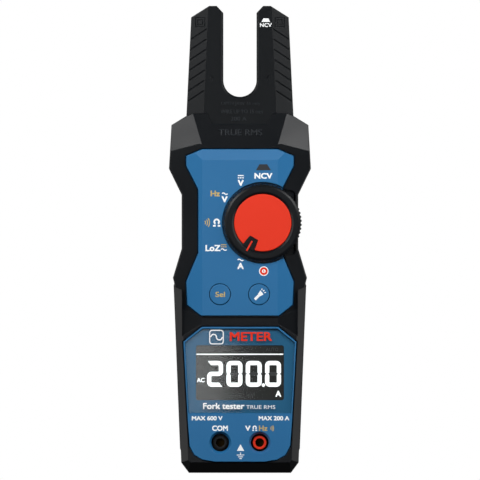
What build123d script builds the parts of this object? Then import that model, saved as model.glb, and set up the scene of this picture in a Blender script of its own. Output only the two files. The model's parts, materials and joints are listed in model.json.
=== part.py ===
"""An electrician's open-jaw fork meter, built as its separate pieces.

Frame: +X to the right of the dial face, the dial face looks along -Y, +Z up towards the fork.
The origin is the middle of the flat base. "Depth" is measured forward, towards -Y, from the
parting plane y = 0 of the two housing halves. Rear pieces are drawn the same way and mirrored.
"""
from build123d import *
import os
from math import atan, cos, degrees, radians, sin

os.makedirs("parts", exist_ok=True)

# ---- driving dimensions, in millimetres ---------------------------------------------------

JACK_PITCH = 19.0            # standard pitch of 4 mm safety sockets
JACK_Z = 14.6
GAP_RADIUS = 8.0             # the fork takes conductors up to 15 mm
THROAT_Z = 189.2
FORK_DEPTH = 9.75            # half the thickness of the fork

FACE_DEPTH = 16.5            # front of the black bezel
REAR_DEPTH = 16.6            # back of the black rear skin
DRAFT_START = 9.0            # the side walls are straight up to this depth
DRAFT = degrees(atan(1.0 / (FACE_DEPTH - DRAFT_START)))
SKIN = 1.6                   # soft overmoulded skin
WALL = 2.2                   # hard shell under it
SHELL_IN = SKIN + WALL
PANEL_GAP = 0.45             # dark joint round the blue panels

PANEL_DEPTH = 17.2
SIDE_SLOPE = 0.25
PANEL_FLAT_X = 18.2

DIAL_X = 11.0
DIAL_Z = 120.5
DIAL_R = 18.8
DIAL_CAP_R = 13.85
DIAL_TOP = 21.0
WELL_R = 19.7
WELL_DEPTH = 14.3            # floor of the dial well
SHAFT_R = 4.9
STEP_ANGLE = 30.0
POINTER_ANGLE = -90.0 - STEP_ANGLE    # the pointer rests one step clockwise from straight down
RIDGES = 60

BUTTON_R = 5.0
BUTTON_HOLE_R = 5.3
BUTTONS = {"select_button": (-9.6, 86.0), "torch_button": (9.2, 86.0)}

BOARD_FRONT = 8.0
BOARD_BACK = 6.4

ROTOR_FRONT, ROTOR_BACK, ROTOR_R = 11.4, 9.6, 12.0

CELL_R = 7.25                # AA cells
CELL_LENGTH = 50.5
CELL_X = 8.0
CELL_Y = 7.6
TRAY_HALF = 16.8
TRAY_LOW = 21.9
TRAY_HIGH = 77.9
TRAY_WALL = 1.2

DOOR_HALF = 19.0
DOOR_LOW = 20.2
DOOR_HIGH = 80.0
DOOR_SCREW_Z = 84.4
DOOR_DEPTH = 17.2
DOOR_FLOOR = 15.1
DOOR_BACK = DOOR_FLOOR + 0.1
HINGE_R = (DOOR_DEPTH - DOOR_BACK) / 2    # the door's lower edge is rounded about its hinge axis
HINGE_DEPTH = DOOR_DEPTH - HINGE_R
HINGE_Z = DOOR_LOW + HINGE_R

CASE_SCREWS = [(-29.4, 150.0), (29.4, 150.0), (-21.5, 12.5), (21.5, 12.5)]
SCREW_SEAT = 7.0             # the heads sit this far behind the parting plane
SCREW_HOLE_R = 3.0
BOARD_SCREWS = [(-17.0, 99.0), (17.0, 92.5), (-17.0, 146.0)]

PROBE_R = 5.6                # test probe barrels are 11 mm thick
PROBE_X = 20.4
PROBE_Y = 16.4

# ---- outlines seen from the front ---------------------------------------------------------


def mirrored(half):
    """Closed outline from its right half, listed from the bottom up."""
    return half + [(-x, z) for x, z in reversed(half)]


FOOT, HIP, FLANK = (24.6, 0.0), (28.3, 5.0), (31.7, 91.5)
HOUSING = mirrored([
    FOOT, HIP, FLANK, (32.3, 94.0), (28.1, 108.0), (28.1, 134.0),
    (34.2, 146.5), (33.0, 167.6), (25.8, 172.0), (22.7, 173.4),
])
UPPER_PANEL = mirrored([
    (18.8, 75.7), (25.4, 81.0), (25.9, 92.2), (20.1, 106.0),
    (20.1, 136.5), (25.9, 148.0), (25.9, 152.7), (18.2, 156.0),
])
LOWER_PANEL = mirrored([
    (12.0, 5.3), (18.0, 6.3), (22.0, 8.6), (24.3, 13.0), (25.2, 25.0), (27.3, 63.2), (18.4, 70.4),
])
WINDOW = mirrored([(24.8, 28.7), (26.5, 62.8), (18.1, 69.5)])
BACK_PANEL = mirrored([
    (16.5, 12.0), (21.8, 18.0), (21.8, 80.0), (12.2, 89.0), (12.2, 146.0), (7.0, 152.0),
])
WAIST_MID = mirrored([(18.4, 71.6), (18.4, 74.9)])
BAND = mirrored([(18.2, 156.5), (18.5, 158.9), (17.7, 161.5), (13.5, 167.8)])
NOTCH = mirrored([(13.5, 167.8), (17.5, 177.5)])
# one side of each pair of facets, for x > 0
WAIST_SIDE = [(18.4, 71.6), (27.8, 65.8), (27.9, 78.8), (18.4, 74.9)]
SLOPE_SIDE = [
    (15.0, 73.5), (18.4, 74.9), (27.9, 78.8), (27.9, 88.2), (40.0, 93.0), (40.0, 165.0), (15.0, 157.0),
]
SHOULDER = [(18.2, 150.0), (36.0, 142.0), (36.0, 178.0), (24.0, 178.0), (18.5, 158.9), (18.2, 156.5)]
PILLAR = [(18.5, 158.9), (24.0, 178.0), (17.7, 178.0), (13.5, 167.8), (17.7, 161.5)]
LOWER_SIDE = [(10.0, -3.0), (40.0, -3.0), (40.0, 93.0), (27.5, 88.0), (10.0, 88.0)]
LOWER_BAND = mirrored([(40.0, -3.0), (40.0, 40.0)])
REAR_SIDE = [(10.0, -3.0), (40.0, -3.0), (40.0, 180.0), (10.0, 180.0)]
REAR_TOP = mirrored([(40.0, 140.0), (40.0, 180.0)])

# ---- helpers ------------------------------------------------------------------------------


def prism(outline, back, front, grow=0.0):
    """A block with a front-view outline between two depths."""
    with BuildPart() as block:
        with BuildSketch(Plane.XZ.offset(back)):
            with BuildLine():
                Polyline(*outline, close=True)
            make_face()
            if grow:
                offset(amount=grow, kind=Kind.INTERSECTION)
        extrude(amount=front - back)
    return block.part


def disc(x, z, radius, back, front):
    """A round block along the depth."""
    with BuildPart() as block:
        with BuildSketch(Plane.XZ.offset(back)):
            with Locations((x, z)):
                Circle(radius)
        extrude(amount=front - back)
    return block.part


def block(x_lo, x_hi, back, front, z_lo, z_hi):
    """A rectangular block between two depths."""
    return prism([(x_lo, z_lo), (x_hi, z_lo), (x_hi, z_hi), (x_lo, z_hi)], back, front)


def facet(p, q, r):
    """The plane through three points given as (x, depth, z), with its normal facing forward."""
    a, b, c = (Vector(x, -depth, z) for x, depth, z in (p, q, r))
    normal = (b - a).cross(c - a).normalized()
    if normal.Y > 0:
        normal = normal * -1
    return Plane(origin=a, z_dir=normal)


def flipped(points):
    """The same points on the other side, x < 0."""
    return [(-x, *rest) for x, *rest in points]


def edge_facet(start, end, inset_face, inset_side, face, side):
    """Three points of the chamfer along an outline edge, its two insets given at two depths."""
    (x0, z0), (x1, z1) = start, end
    length = ((x1 - x0) ** 2 + (z1 - z0) ** 2) ** 0.5
    nx, nz = -(z1 - z0) / length, (x1 - x0) / length
    return [
        (x0 + nx * inset_face, face, z0 + nz * inset_face),
        (x1 + nx * inset_face, face, z1 + nz * inset_face),
        (x0 + nx * inset_side, side, z0 + nz * inset_side),
    ]


def ahead_of(points, outline, inset=0.0):
    """The material that stands forward of a facet, within a front-view outline."""
    plane = facet(*points)
    column = prism(outline, -1.0, 30.0, grow=inset)
    with BuildPart() as waste:
        add(column)
        split(bisect_by=plane.offset(-inset), keep=Keep.TOP)
    return waste.part


def trimmed(outline, straight, depth, draft, facets, inset):
    """A housing half shrunk by inset on every face: a drafted block cut by its facets."""
    waste = [ahead_of(points, region, inset) for points, region in facets]
    with BuildPart() as form:
        for start, stop, taper in ((0.0, straight, 0.0), (straight, depth - inset, draft)):
            with BuildSketch(Plane.XZ.offset(start)):
                with BuildLine():
                    Polyline(*outline, close=True)
                make_face()
                if inset:
                    offset(amount=-inset, kind=Kind.INTERSECTION)
            extrude(amount=stop - start, taper=taper)
        for piece in waste:
            add(piece, mode=Mode.SUBTRACT)
    return form.part


def both_sides(points, region):
    """A facet and its twin on the other side."""
    return [(points, region), (flipped(points), flipped(region))]


def rear(part):
    """Turn a piece drawn from the front into the same piece on the rear."""
    return mirror(part, about=Plane.XZ)


def save(part, name):
    part.label = name
    export_step(part, f"parts/{name}.step")


# ---- the forms of the two housing halves --------------------------------------------------

BAND_FALL = 0.348            # the band above the panel leans back this much per millimetre


def band_depth(z):
    return FACE_DEPTH - BAND_FALL * (z - 156.5)


slope_points = [(15.0, FACE_DEPTH, 90.0), (15.0, FACE_DEPTH, 150.0),
                (35.0, FACE_DEPTH - 20.0 * SIDE_SLOPE, 120.0)]
shoulder_points = [(18.5, 15.62, 158.9), (22.7, 11.17, 173.4), (33.0, 9.3, 167.5)]
pillar_points = [(17.7, band_depth(161.5), 161.5), (13.5, band_depth(167.8), 167.8), (22.7, 11.17, 173.4)]
waist_points = [(18.4, 15.6, 71.6), (18.4, 15.6, 74.9), (27.9, 14.0, 72.0)]

front_facets = (
    both_sides(slope_points, SLOPE_SIDE)
    + both_sides(shoulder_points, SHOULDER)
    + both_sides(pillar_points, PILLAR)
    + both_sides(waist_points, WAIST_SIDE)
    + both_sides(edge_facet(HIP, FLANK, 3.4, 0.5, FACE_DEPTH, 9.5), LOWER_SIDE)
    + both_sides(edge_facet(FOOT, HIP, 3.4, 0.5, FACE_DEPTH, 9.5), LOWER_SIDE)
    + [([(0.0, FACE_DEPTH, 5.0), (9.0, FACE_DEPTH, 5.0), (0.0, 9.5, 0.8)], LOWER_BAND)]
    + [([(0.0, 15.6, 71.0), (9.0, 15.6, 71.0), (0.0, 15.6, 75.0)], WAIST_MID)]
    + [([(0.0, band_depth(157.0), 157.0), (9.0, band_depth(157.0), 157.0),
         (0.0, band_depth(167.0), 167.0)], BAND)]
)
rear_facets = (
    both_sides([(24.0, REAR_DEPTH, 10.0), (24.0, REAR_DEPTH, 150.0), (32.0, 9.6, 80.0)], REAR_SIDE)
    + [([(0.0, REAR_DEPTH, 3.0), (9.0, REAR_DEPTH, 3.0), (0.0, 12.4, 0.0)], LOWER_BAND)]
    + [([(0.0, REAR_DEPTH, 153.0), (9.0, REAR_DEPTH, 153.0), (0.0, 11.6, 173.4)], REAR_TOP)]
)


def front_form(inset):
    return trimmed(HOUSING, DRAFT_START, FACE_DEPTH, DRAFT, front_facets, inset)


def rear_form(inset):
    return trimmed(HOUSING, DRAFT_START, REAR_DEPTH, DRAFT, rear_facets, inset)


def upper_panel_form(inset):
    """The blue plateau under the dial: flat in the middle, leaning back at its sides and top."""
    side = [(PANEL_FLAT_X, PANEL_DEPTH, 90.0), (PANEL_FLAT_X, PANEL_DEPTH, 150.0),
            (30.0, PANEL_DEPTH - (30.0 - PANEL_FLAT_X) * SIDE_SLOPE, 120.0)]
    top = [(0.0, PANEL_DEPTH, 150.8), (9.0, PANEL_DEPTH, 150.8), (0.0, PANEL_DEPTH - 1.3, 156.0)]
    side_region = [(10.0, 70.0), (40.0, 70.0), (40.0, 160.0), (10.0, 160.0)]
    facets = both_sides(side, side_region) + [(top, REAR_TOP)]
    return trimmed(UPPER_PANEL, 10.0, PANEL_DEPTH, 1.0, facets, inset)


def lower_panel_form(inset):
    return trimmed(LOWER_PANEL, 10.0, PANEL_DEPTH - 0.2, 1.0, [], inset)


# ---- the fork -----------------------------------------------------------------------------

CREASE_LOW, CREASE_HIGH = (17.4, 174.0), (15.2, 225.0)
fork_facet = [(CREASE_LOW[0], FORK_DEPTH, CREASE_LOW[1]), (CREASE_HIGH[0], FORK_DEPTH, CREASE_HIGH[1]),
              (25.8, 6.0, 174.0)]
PRONG_SIDE = [(10.0, 150.0), (30.0, 150.0), (30.0, 230.0), (10.0, 230.0)]
GROOVES = 7
GROOVE_PITCH = 4.97
GROOVE_TOP = (15.7, 213.8)
GROOVE_ANGLE = -33.4
GROOVE_LENGTH = 14.0
GROOVE_WIDTH = 0.9
GROOVE_CUT = 0.6


def fork_block(depth, inset=0.0, root_z=161.0):
    """The fork's outline, from its root inside the housing to the tips, as a block."""
    right = [(24.6, root_z), (25.8, 172.0), (23.5, 219.5), (14.8, 225.0), (11.2, 225.0),
             (GAP_RADIUS, 221.6), (GAP_RADIUS, THROAT_Z)]
    left = flipped(right)
    with BuildPart() as body:
        with BuildSketch(Plane.XZ):
            with BuildLine():
                Polyline(*right)
                ThreePointArc(right[-1], (0.0, THROAT_Z - GAP_RADIUS), left[-1])
                Polyline(*left)
                Line(left[0], right[0])
            make_face()
            if inset:
                offset(amount=-inset, kind=Kind.INTERSECTION)
        extrude(amount=depth)
    return body.part


def fork_waste(lower):
    """What stands forward of the two outer facets of the prongs, the facets lowered by an amount."""
    return [ahead_of(points, region, lower)
            for points, region in both_sides(fork_facet, PRONG_SIDE)]


def groove_cuts(side):
    """The diagonal finger grooves of one prong, down to a fixed depth under its facet."""
    plane = facet(*(fork_facet if side > 0 else flipped(fork_facet)))
    with BuildPart() as cuts:
        with BuildSketch(Plane.XZ):
            for index in range(GROOVES):
                drop = index * GROOVE_PITCH
                start_x = side * (GROOVE_TOP[0] + drop * 0.05)
                angle = radians(GROOVE_ANGLE)
                middle = (start_x + side * cos(angle) * GROOVE_LENGTH / 2,
                          GROOVE_TOP[1] - drop + sin(angle) * GROOVE_LENGTH / 2)
                with Locations(Location((middle[0], middle[1], 0.0), (0, 0, side * GROOVE_ANGLE))):
                    SlotOverall(GROOVE_LENGTH, GROOVE_WIDTH)
        extrude(amount=20.0)
        split(bisect_by=plane.offset(-GROOVE_CUT), keep=Keep.TOP)
    return cuts.part


def emblem_cut(side):
    """Two nested square outlines sunk into the facet near the tip."""
    plane = facet(*(fork_facet if side > 0 else flipped(fork_facet)))
    with BuildPart() as cut:
        with BuildSketch(Plane.XZ):
            with Locations((side * 19.1, 217.1)):
                for outer, inner in ((4.8, 4.1), (2.7, 2.0)):
                    Rectangle(outer, outer)
                    Rectangle(inner, inner, mode=Mode.SUBTRACT)
        extrude(amount=20.0)
        split(bisect_by=plane.offset(-0.35), keep=Keep.TOP)
    return cut.part


def fork_shell(with_marks):
    """One half of the fork cover, hollow for the sensor, open at the parting plane and root."""
    outer = fork_block(FORK_DEPTH)
    cavity = fork_block(FORK_DEPTH - 2.0, inset=2.0)
    root_cut = block(-21.5, 21.5, 0.0, FORK_DEPTH - 2.0, 160.0, 166.0)
    facets = fork_waste(0.0)
    lowered = fork_waste(2.0)
    grooves = [groove_cuts(1), groove_cuts(-1)]
    emblems = [emblem_cut(1), emblem_cut(-1)]
    with BuildPart() as hollow:
        add(cavity)
        add(root_cut)
        for waste in lowered:
            add(waste, mode=Mode.SUBTRACT)
    with BuildPart() as shell:
        add(outer)
        for waste in facets:
            add(waste, mode=Mode.SUBTRACT)
        throat = shell.edges().filter_by(lambda e: abs(e.center().Y + FORK_DEPTH) < 0.01)
        throat = throat.filter_by(lambda e: abs(e.center().X) < GAP_RADIUS + 0.01)
        chamfer(throat.filter_by(lambda e: e.center().Z > 180.0), 0.9)
        add(hollow.part, mode=Mode.SUBTRACT)
        for cut in grooves:
            add(cut, mode=Mode.SUBTRACT)
        if with_marks:
            for cut in emblems:
                add(cut, mode=Mode.SUBTRACT)
            with BuildSketch(Plane.XZ.offset(FORK_DEPTH - 0.35)):
                for side in (-1, 1):
                    base_x = side * 14.1
                    with BuildLine():
                        Polyline((base_x, 191.5), (side * 12.3, 190.0), (base_x, 188.5), close=True)
                    make_face()
            extrude(amount=1.0, mode=Mode.SUBTRACT)
        with BuildSketch(Plane.XY.offset(178.0)):
            Circle(2.5)
        extrude(amount=8.0, mode=Mode.SUBTRACT)
    return shell.part


fork_space_waste = fork_waste(0.0)
with BuildPart() as fork_space_half:
    add(fork_block(FORK_DEPTH))
    for waste_piece in fork_space_waste:
        add(waste_piece, mode=Mode.SUBTRACT)
fork_space = fork_space_half.part
notch_space = prism(NOTCH, 3.0, 30.0)

with BuildPart() as fork_front_cover:
    add(fork_shell(with_marks=True))
save(fork_front_cover.part, "fork_front_cover")

with BuildPart() as fork_rear_cover:
    add(rear(fork_shell(with_marks=False)))
save(fork_rear_cover.part, "fork_rear_cover")

# ---- front housing half -------------------------------------------------------------------

front_outer = front_form(0.0)
front_mid = front_form(SKIN)
front_inner = front_form(SHELL_IN)
upper_panel = upper_panel_form(0.0)
lower_panel = lower_panel_form(0.0)
upper_pocket = upper_panel_form(WALL)
lower_pocket = lower_panel_form(WALL)
upper_opening = prism(UPPER_PANEL, 4.0, 30.0, grow=PANEL_GAP)
lower_opening = prism(LOWER_PANEL, 4.0, 30.0, grow=PANEL_GAP)
well_backing = disc(DIAL_X, DIAL_Z, WELL_R + WALL, WELL_DEPTH - WALL, PANEL_DEPTH - WALL)
FRONT_BOSS_R = 3.0
screw_bosses = [disc(x, z, FRONT_BOSS_R, 0.0, 15.0) for x, z in CASE_SCREWS]
board_posts = [disc(x, z, 2.4, BOARD_FRONT, 15.5) for x, z in BOARD_SCREWS]
SEAL_OUT, SEAL_IN, SEAL_TOP = 2.3, 3.1, 158.0

DIAL_SIDE_POCKET = (20.6, 26.8, 104.6, 136.2)    # x and z limits of the recess beside the dial
pocket_w = DIAL_SIDE_POCKET[1] - DIAL_SIDE_POCKET[0]
pocket_h = DIAL_SIDE_POCKET[3] - DIAL_SIDE_POCKET[2]
with BuildPart() as side_pocket:
    with BuildSketch(Plane.XZ.offset(4.0)):
        with Locations((DIAL_SIDE_POCKET[0] + pocket_w / 2, DIAL_SIDE_POCKET[2] + pocket_h / 2)):
            RectangleRounded(pocket_w, pocket_h, 2.6)
    extrude(amount=20.0)

with BuildPart() as seal_ring:
    with BuildSketch(Plane.XZ.offset(-0.5)):
        with BuildLine():
            Polyline(*HOUSING, close=True)
        make_face()
        offset(amount=-SEAL_OUT, kind=Kind.INTERSECTION)
        with BuildLine():
            Polyline(*HOUSING, close=True)
        inner_edge = make_face(mode=Mode.PRIVATE)
        add(offset(inner_edge, amount=-SEAL_IN, kind=Kind.INTERSECTION, mode=Mode.PRIVATE),
            mode=Mode.SUBTRACT)
    extrude(amount=1.0)
    with BuildSketch(Plane.XZ.offset(-2.0)):
        with Locations((0.0, SEAL_TOP + 20.0)):
            Rectangle(80.0, 40.0)
    extrude(amount=4.0, mode=Mode.SUBTRACT)

with BuildPart() as front_bumper:
    add(front_outer)
    add(front_mid, mode=Mode.SUBTRACT)
    add(upper_opening, mode=Mode.SUBTRACT)
    add(lower_opening, mode=Mode.SUBTRACT)
    add(notch_space, mode=Mode.SUBTRACT)
    add(fork_space, mode=Mode.SUBTRACT)
    add(side_pocket.part, mode=Mode.SUBTRACT)
    add(disc(DIAL_X, DIAL_Z, WELL_R, WELL_DEPTH - 0.6, 30.0), mode=Mode.SUBTRACT)
save(front_bumper.part, "front_bumper")

# what is hollow inside the blue shell, with the dial's floor and the bosses left standing
with BuildPart() as front_hollow:
    add(front_inner)
    add(upper_pocket)
    add(lower_pocket)
    add(well_backing, mode=Mode.SUBTRACT)
    for post in screw_bosses + board_posts:
        add(post, mode=Mode.SUBTRACT)
    add(disc(DIAL_X, DIAL_Z, ROTOR_R + 0.4, 2.0, ROTOR_FRONT + 0.3))

WINDOW_BACK = 15.1
WINDOW_FRONT = 17.1
LCD_HALF, LCD_LOW, LCD_HIGH = 21.8, 34.5, 62.0

with BuildPart() as front_cover:
    add(front_mid)
    add(upper_panel)
    add(lower_panel)
    add(front_hollow.part, mode=Mode.SUBTRACT)
    add(fork_space, mode=Mode.SUBTRACT)
    add(notch_space, mode=Mode.SUBTRACT)
    add(seal_ring.part, mode=Mode.SUBTRACT)
    add(disc(DIAL_X, DIAL_Z, WELL_R, WELL_DEPTH, 30.0), mode=Mode.SUBTRACT)
    add(disc(DIAL_X, DIAL_Z, SHAFT_R + 0.1, 5.0, 30.0), mode=Mode.SUBTRACT)
    add(prism(WINDOW, WINDOW_BACK, 30.0), mode=Mode.SUBTRACT)
    add(block(-LCD_HALF, LCD_HALF, 10.0, 20.0, LCD_LOW, LCD_HIGH), mode=Mode.SUBTRACT)
    for x, z in BUTTONS.values():
        add(disc(x, z, BUTTON_HOLE_R, 5.0, 30.0), mode=Mode.SUBTRACT)
    for x, z in CASE_SCREWS:
        add(disc(x, z, 1.4, -1.0, 9.0), mode=Mode.SUBTRACT)
    for x, z in BOARD_SCREWS:
        add(disc(x, z, 1.0, BOARD_FRONT - 1.0, BOARD_FRONT + 4.0), mode=Mode.SUBTRACT)
    for side in (-1, 1):
        with BuildSketch(Plane.XZ.offset(PANEL_DEPTH - 0.2)):
            with Locations((side * JACK_PITCH / 2, JACK_Z)):
                Circle(5.3)
        extrude(amount=-1.6, taper=32.0, mode=Mode.SUBTRACT)
        add(disc(side * JACK_PITCH / 2, JACK_Z, 4.3, 10.0, 30.0), mode=Mode.SUBTRACT)
save(front_cover.part, "front_cover")

with BuildPart() as case_seal:
    add(seal_ring.part)
save(case_seal.part, "case_seal")

# ---- rear housing half --------------------------------------------------------------------

rear_outer = rear_form(0.0)
rear_mid = rear_form(SKIN)
rear_inner = rear_form(SHELL_IN)
back_plateau = prism(BACK_PANEL, 10.0, DOOR_DEPTH)
back_opening = prism(BACK_PANEL, 4.0, 30.0, grow=PANEL_GAP)
tray_opening = block(-TRAY_HALF, TRAY_HALF, 0.0, DOOR_FLOOR, TRAY_LOW, TRAY_HIGH)
DOOR_TONGUE = 5.5
DOOR_TONGUE_TOP = 88.4
DOOR_OUTLINE = mirrored([
    (DOOR_HALF, DOOR_LOW), (DOOR_HALF, DOOR_HIGH), (DOOR_TONGUE, DOOR_HIGH), (DOOR_TONGUE, DOOR_TONGUE_TOP),
])
door_recess = prism(DOOR_OUTLINE, DOOR_FLOOR, 30.0, grow=0.3)
door_screw_boss = disc(0.0, DOOR_SCREW_Z, 4.6, 11.5, DOOR_FLOOR)
PROBE_LOW, PROBE_HIGH = 90.0, 176.0
ARM_BANDS = ((96.0, 110.0), (120.0, 134.0))


def probe_column(radius, low, high):
    """The two round columns along which the test probes lie, drawn on the front side."""
    with BuildPart() as column:
        with BuildSketch(Plane.XY.offset(low)):
            with Locations((-PROBE_X, -PROBE_Y), (PROBE_X, -PROBE_Y)):
                Circle(radius)
        extrude(amount=high - low)
    return column.part


probe_backing = probe_column(PROBE_R + WALL, PROBE_LOW - 2.0, PROBE_HIGH + 2.0)
probe_bed = probe_column(PROBE_R, PROBE_LOW, PROBE_HIGH)
arm_outer = [probe_column(PROBE_R + SKIN, low, high) for low, high in ARM_BANDS]
arm_limit = block(-40.0, 40.0, 15.0, DIAL_TOP, 80.0, 150.0)
rear_bosses = [disc(x, z, 4.4, 0.0, 15.0) for x, z in CASE_SCREWS]

with BuildPart() as arms:
    for arm in arm_outer:
        add(arm)
    add(arm_limit, mode=Mode.INTERSECT)
    add(rear_mid, mode=Mode.SUBTRACT)
    add(back_opening, mode=Mode.SUBTRACT)

with BuildPart() as rear_skin:
    add(rear_outer)
    add(rear_mid, mode=Mode.SUBTRACT)
    add(arms.part)
    add(back_opening, mode=Mode.SUBTRACT)
    add(probe_bed, mode=Mode.SUBTRACT)
    add(fork_space, mode=Mode.SUBTRACT)
    for x, z in CASE_SCREWS:
        add(disc(x, z, SCREW_HOLE_R, SCREW_SEAT, 30.0), mode=Mode.SUBTRACT)

GRIP_THICK = 0.3
GRIP_END = 0.7
GRIP_LOW, GRIP_HIGH = 11.0, 91.0


def flank_x(z):
    """Half width of the housing along its tapered flank."""
    return HIP[0] + (FLANK[0] - HIP[0]) * (z - HIP[1]) / (FLANK[1] - HIP[1])


with BuildPart() as rear_bumper:
    add(rear(rear_skin.part))
    for side in (-1, 1):
        with BuildSketch(Plane.XZ.offset(7.5)):
            with BuildLine():
                Polyline(
                    (side * flank_x(GRIP_LOW), GRIP_LOW),
                    (side * (flank_x(GRIP_LOW + GRIP_END) + GRIP_THICK), GRIP_LOW + GRIP_END),
                    (side * (flank_x(GRIP_HIGH - GRIP_END) + GRIP_THICK), GRIP_HIGH - GRIP_END),
                    (side * flank_x(GRIP_HIGH), GRIP_HIGH), close=True)
            make_face()
        extrude(amount=-16.0)
save(rear_bumper.part, "rear_bumper")

with BuildPart() as rear_hollow:
    add(rear_inner)
    add(probe_backing, mode=Mode.SUBTRACT)
    add(door_screw_boss, mode=Mode.SUBTRACT)
    for boss in rear_bosses:
        add(boss, mode=Mode.SUBTRACT)

TAB_X = (17.3, 18.7)
with BuildPart() as rear_half:
    add(rear_mid)
    add(back_plateau)
    add(rear_hollow.part, mode=Mode.SUBTRACT)
    add(fork_space, mode=Mode.SUBTRACT)
    add(rear(seal_ring.part), mode=Mode.SUBTRACT)
    add(probe_bed, mode=Mode.SUBTRACT)
    add(tray_opening, mode=Mode.SUBTRACT)
    add(door_recess, mode=Mode.SUBTRACT)
    add(disc(0.0, DOOR_SCREW_Z, 3.0, 12.3, 30.0), mode=Mode.SUBTRACT)
    for x, z in CASE_SCREWS:
        add(disc(x, z, 1.7, -1.0, 12.0), mode=Mode.SUBTRACT)
        add(disc(x, z, SCREW_HOLE_R, SCREW_SEAT, 30.0), mode=Mode.SUBTRACT)
    for side in (-1, 1):
        low, high = sorted((side * (TAB_X[0] - 0.3), side * (TAB_X[1] + 0.3)))
        add(block(low, high, 5.0, DOOR_FLOOR, 16.1, 24.4), mode=Mode.SUBTRACT)

with BuildPart() as rear_cover:
    add(rear(rear_half.part))
save(rear_cover.part, "rear_cover")

# ---- battery door, its seal, screw and insert ---------------------------------------------

SEAL_CREST = DOOR_FLOOR + 0.02
with BuildPart() as door_seal_half:
    add(block(-TRAY_HALF - 1.4, TRAY_HALF + 1.4, SEAL_CREST, DOOR_FLOOR + 0.5, 24.8, TRAY_HIGH + 1.0))
    add(block(-TRAY_HALF - 0.4, TRAY_HALF + 0.4, 10.0, 20.0, 25.8, TRAY_HIGH), mode=Mode.SUBTRACT)
with BuildPart() as door_seal:
    add(rear(door_seal_half.part))
save(door_seal.part, "door_seal")

with BuildPart() as door_half:
    add(prism(DOOR_OUTLINE, DOOR_BACK, DOOR_DEPTH))
    add(block(-DOOR_HALF, DOOR_HALF, DOOR_BACK, DOOR_DEPTH, DOOR_LOW, HINGE_Z), mode=Mode.SUBTRACT)
    with Locations((0.0, -HINGE_DEPTH, HINGE_Z)):
        Cylinder(HINGE_R, 2 * DOOR_HALF, rotation=(0, 90, 0))
    add(disc(0.0, DOOR_SCREW_Z, 1.8, 10.0, 30.0), mode=Mode.SUBTRACT)
    add(disc(0.0, DOOR_SCREW_Z, 3.3, DOOR_DEPTH - 1.3, 30.0), mode=Mode.SUBTRACT)
    for side in (-1, 1):
        low, high = sorted((side * TAB_X[0], side * TAB_X[1]))
        add(block(low, high, 13.4, 14.8, 18.6, 21.6))
        add(block(low, high, 13.4, HINGE_DEPTH, DOOR_LOW, 22.0))
    for index in range(5):
        with BuildSketch(Plane.XZ.offset(DOOR_DEPTH - 0.5)):
            with Locations((0.0, 68.0 + index * 2.2)):
                SlotOverall(18.0 - index * 2.0, 0.9)
        extrude(amount=2.0, mode=Mode.SUBTRACT)
    add(door_seal_half.part, mode=Mode.SUBTRACT)
with BuildPart() as battery_door:
    add(rear(door_half.part))
save(battery_door.part, "battery_door")

with BuildPart() as screw_half:
    add(disc(0.0, DOOR_SCREW_Z, 1.5, 12.6, 16.2))
    add(disc(0.0, DOOR_SCREW_Z, 3.0, DOOR_DEPTH - 1.2, DOOR_DEPTH - 0.1))
    coin_slot = block(-3.5, 3.5, DOOR_DEPTH - 0.8, 30.0, DOOR_SCREW_Z - 0.45, DOOR_SCREW_Z + 0.45)
    add(coin_slot, mode=Mode.SUBTRACT)
with BuildPart() as door_screw:
    add(rear(screw_half.part))
save(door_screw.part, "door_screw")

with BuildPart() as insert_half:
    add(disc(0.0, DOOR_SCREW_Z, 3.0, 12.3, 15.0))
    add(disc(0.0, DOOR_SCREW_Z, 1.85, 11.0, 16.0), mode=Mode.SUBTRACT)
with BuildPart() as door_insert:
    add(rear(insert_half.part))
save(door_insert.part, "door_insert")

# ---- fasteners ----------------------------------------------------------------------------

with BuildPart() as case_screws:
    for x, z in CASE_SCREWS:
        add(disc(x, z, 1.4, -SCREW_SEAT, 8.5))
        add(disc(x, z, 2.7, -SCREW_SEAT - 2.0, -SCREW_SEAT))
        with BuildSketch(Plane.XZ.offset(-SCREW_SEAT - 2.0)):
            with Locations((x, z)):
                RegularPolygon(1.3, 6)
        extrude(amount=1.2, mode=Mode.SUBTRACT)
save(case_screws.part, "case_screws")

with BuildPart() as board_screws:
    for x, z in BOARD_SCREWS:
        add(disc(x, z, 1.0, BOARD_BACK, BOARD_FRONT + 3.5))
        add(disc(x, z, 2.0, BOARD_BACK - 1.4, BOARD_BACK))
        with BuildSketch(Plane.XZ.offset(BOARD_BACK - 1.4)):
            with Locations((x, z)):
                Rectangle(2.4, 0.5)
                Rectangle(0.5, 2.4)
        extrude(amount=0.7, mode=Mode.SUBTRACT)
save(board_screws.part, "board_screws")

# ---- dial ---------------------------------------------------------------------------------

RING_BACK, RING_SHOULDER = 15.0, 19.4
CAP_SEAT = 19.0
POINTER_TIP_R, POINTER_TIP_HALF, POINTER_BASE_HALF = 8.45, 2.15, 3.1


def dial_plane(depth, angle=0.0):
    """A front-facing plane centred on the dial's axis, its x axis turned by an angle."""
    turned = (cos(radians(angle)), 0.0, sin(radians(angle)))
    return Plane(origin=(DIAL_X, -depth, DIAL_Z), x_dir=turned, z_dir=(0, -1, 0))


def tongue(back, front, grow=0.0):
    """The dark tongue that cuts into the red cap and carries the pointer mark."""
    with BuildPart() as wedge:
        with BuildSketch(dial_plane(back, POINTER_ANGLE)):
            with BuildLine():
                Polyline(
                    (POINTER_TIP_R - grow, -POINTER_TIP_HALF - grow),
                    (DIAL_CAP_R + 0.3, -POINTER_BASE_HALF - grow),
                    (DIAL_CAP_R + 0.3, POINTER_BASE_HALF + grow),
                    (POINTER_TIP_R - grow, POINTER_TIP_HALF + grow), close=True)
            make_face()
        extrude(amount=front - back)
    return wedge.part


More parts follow.
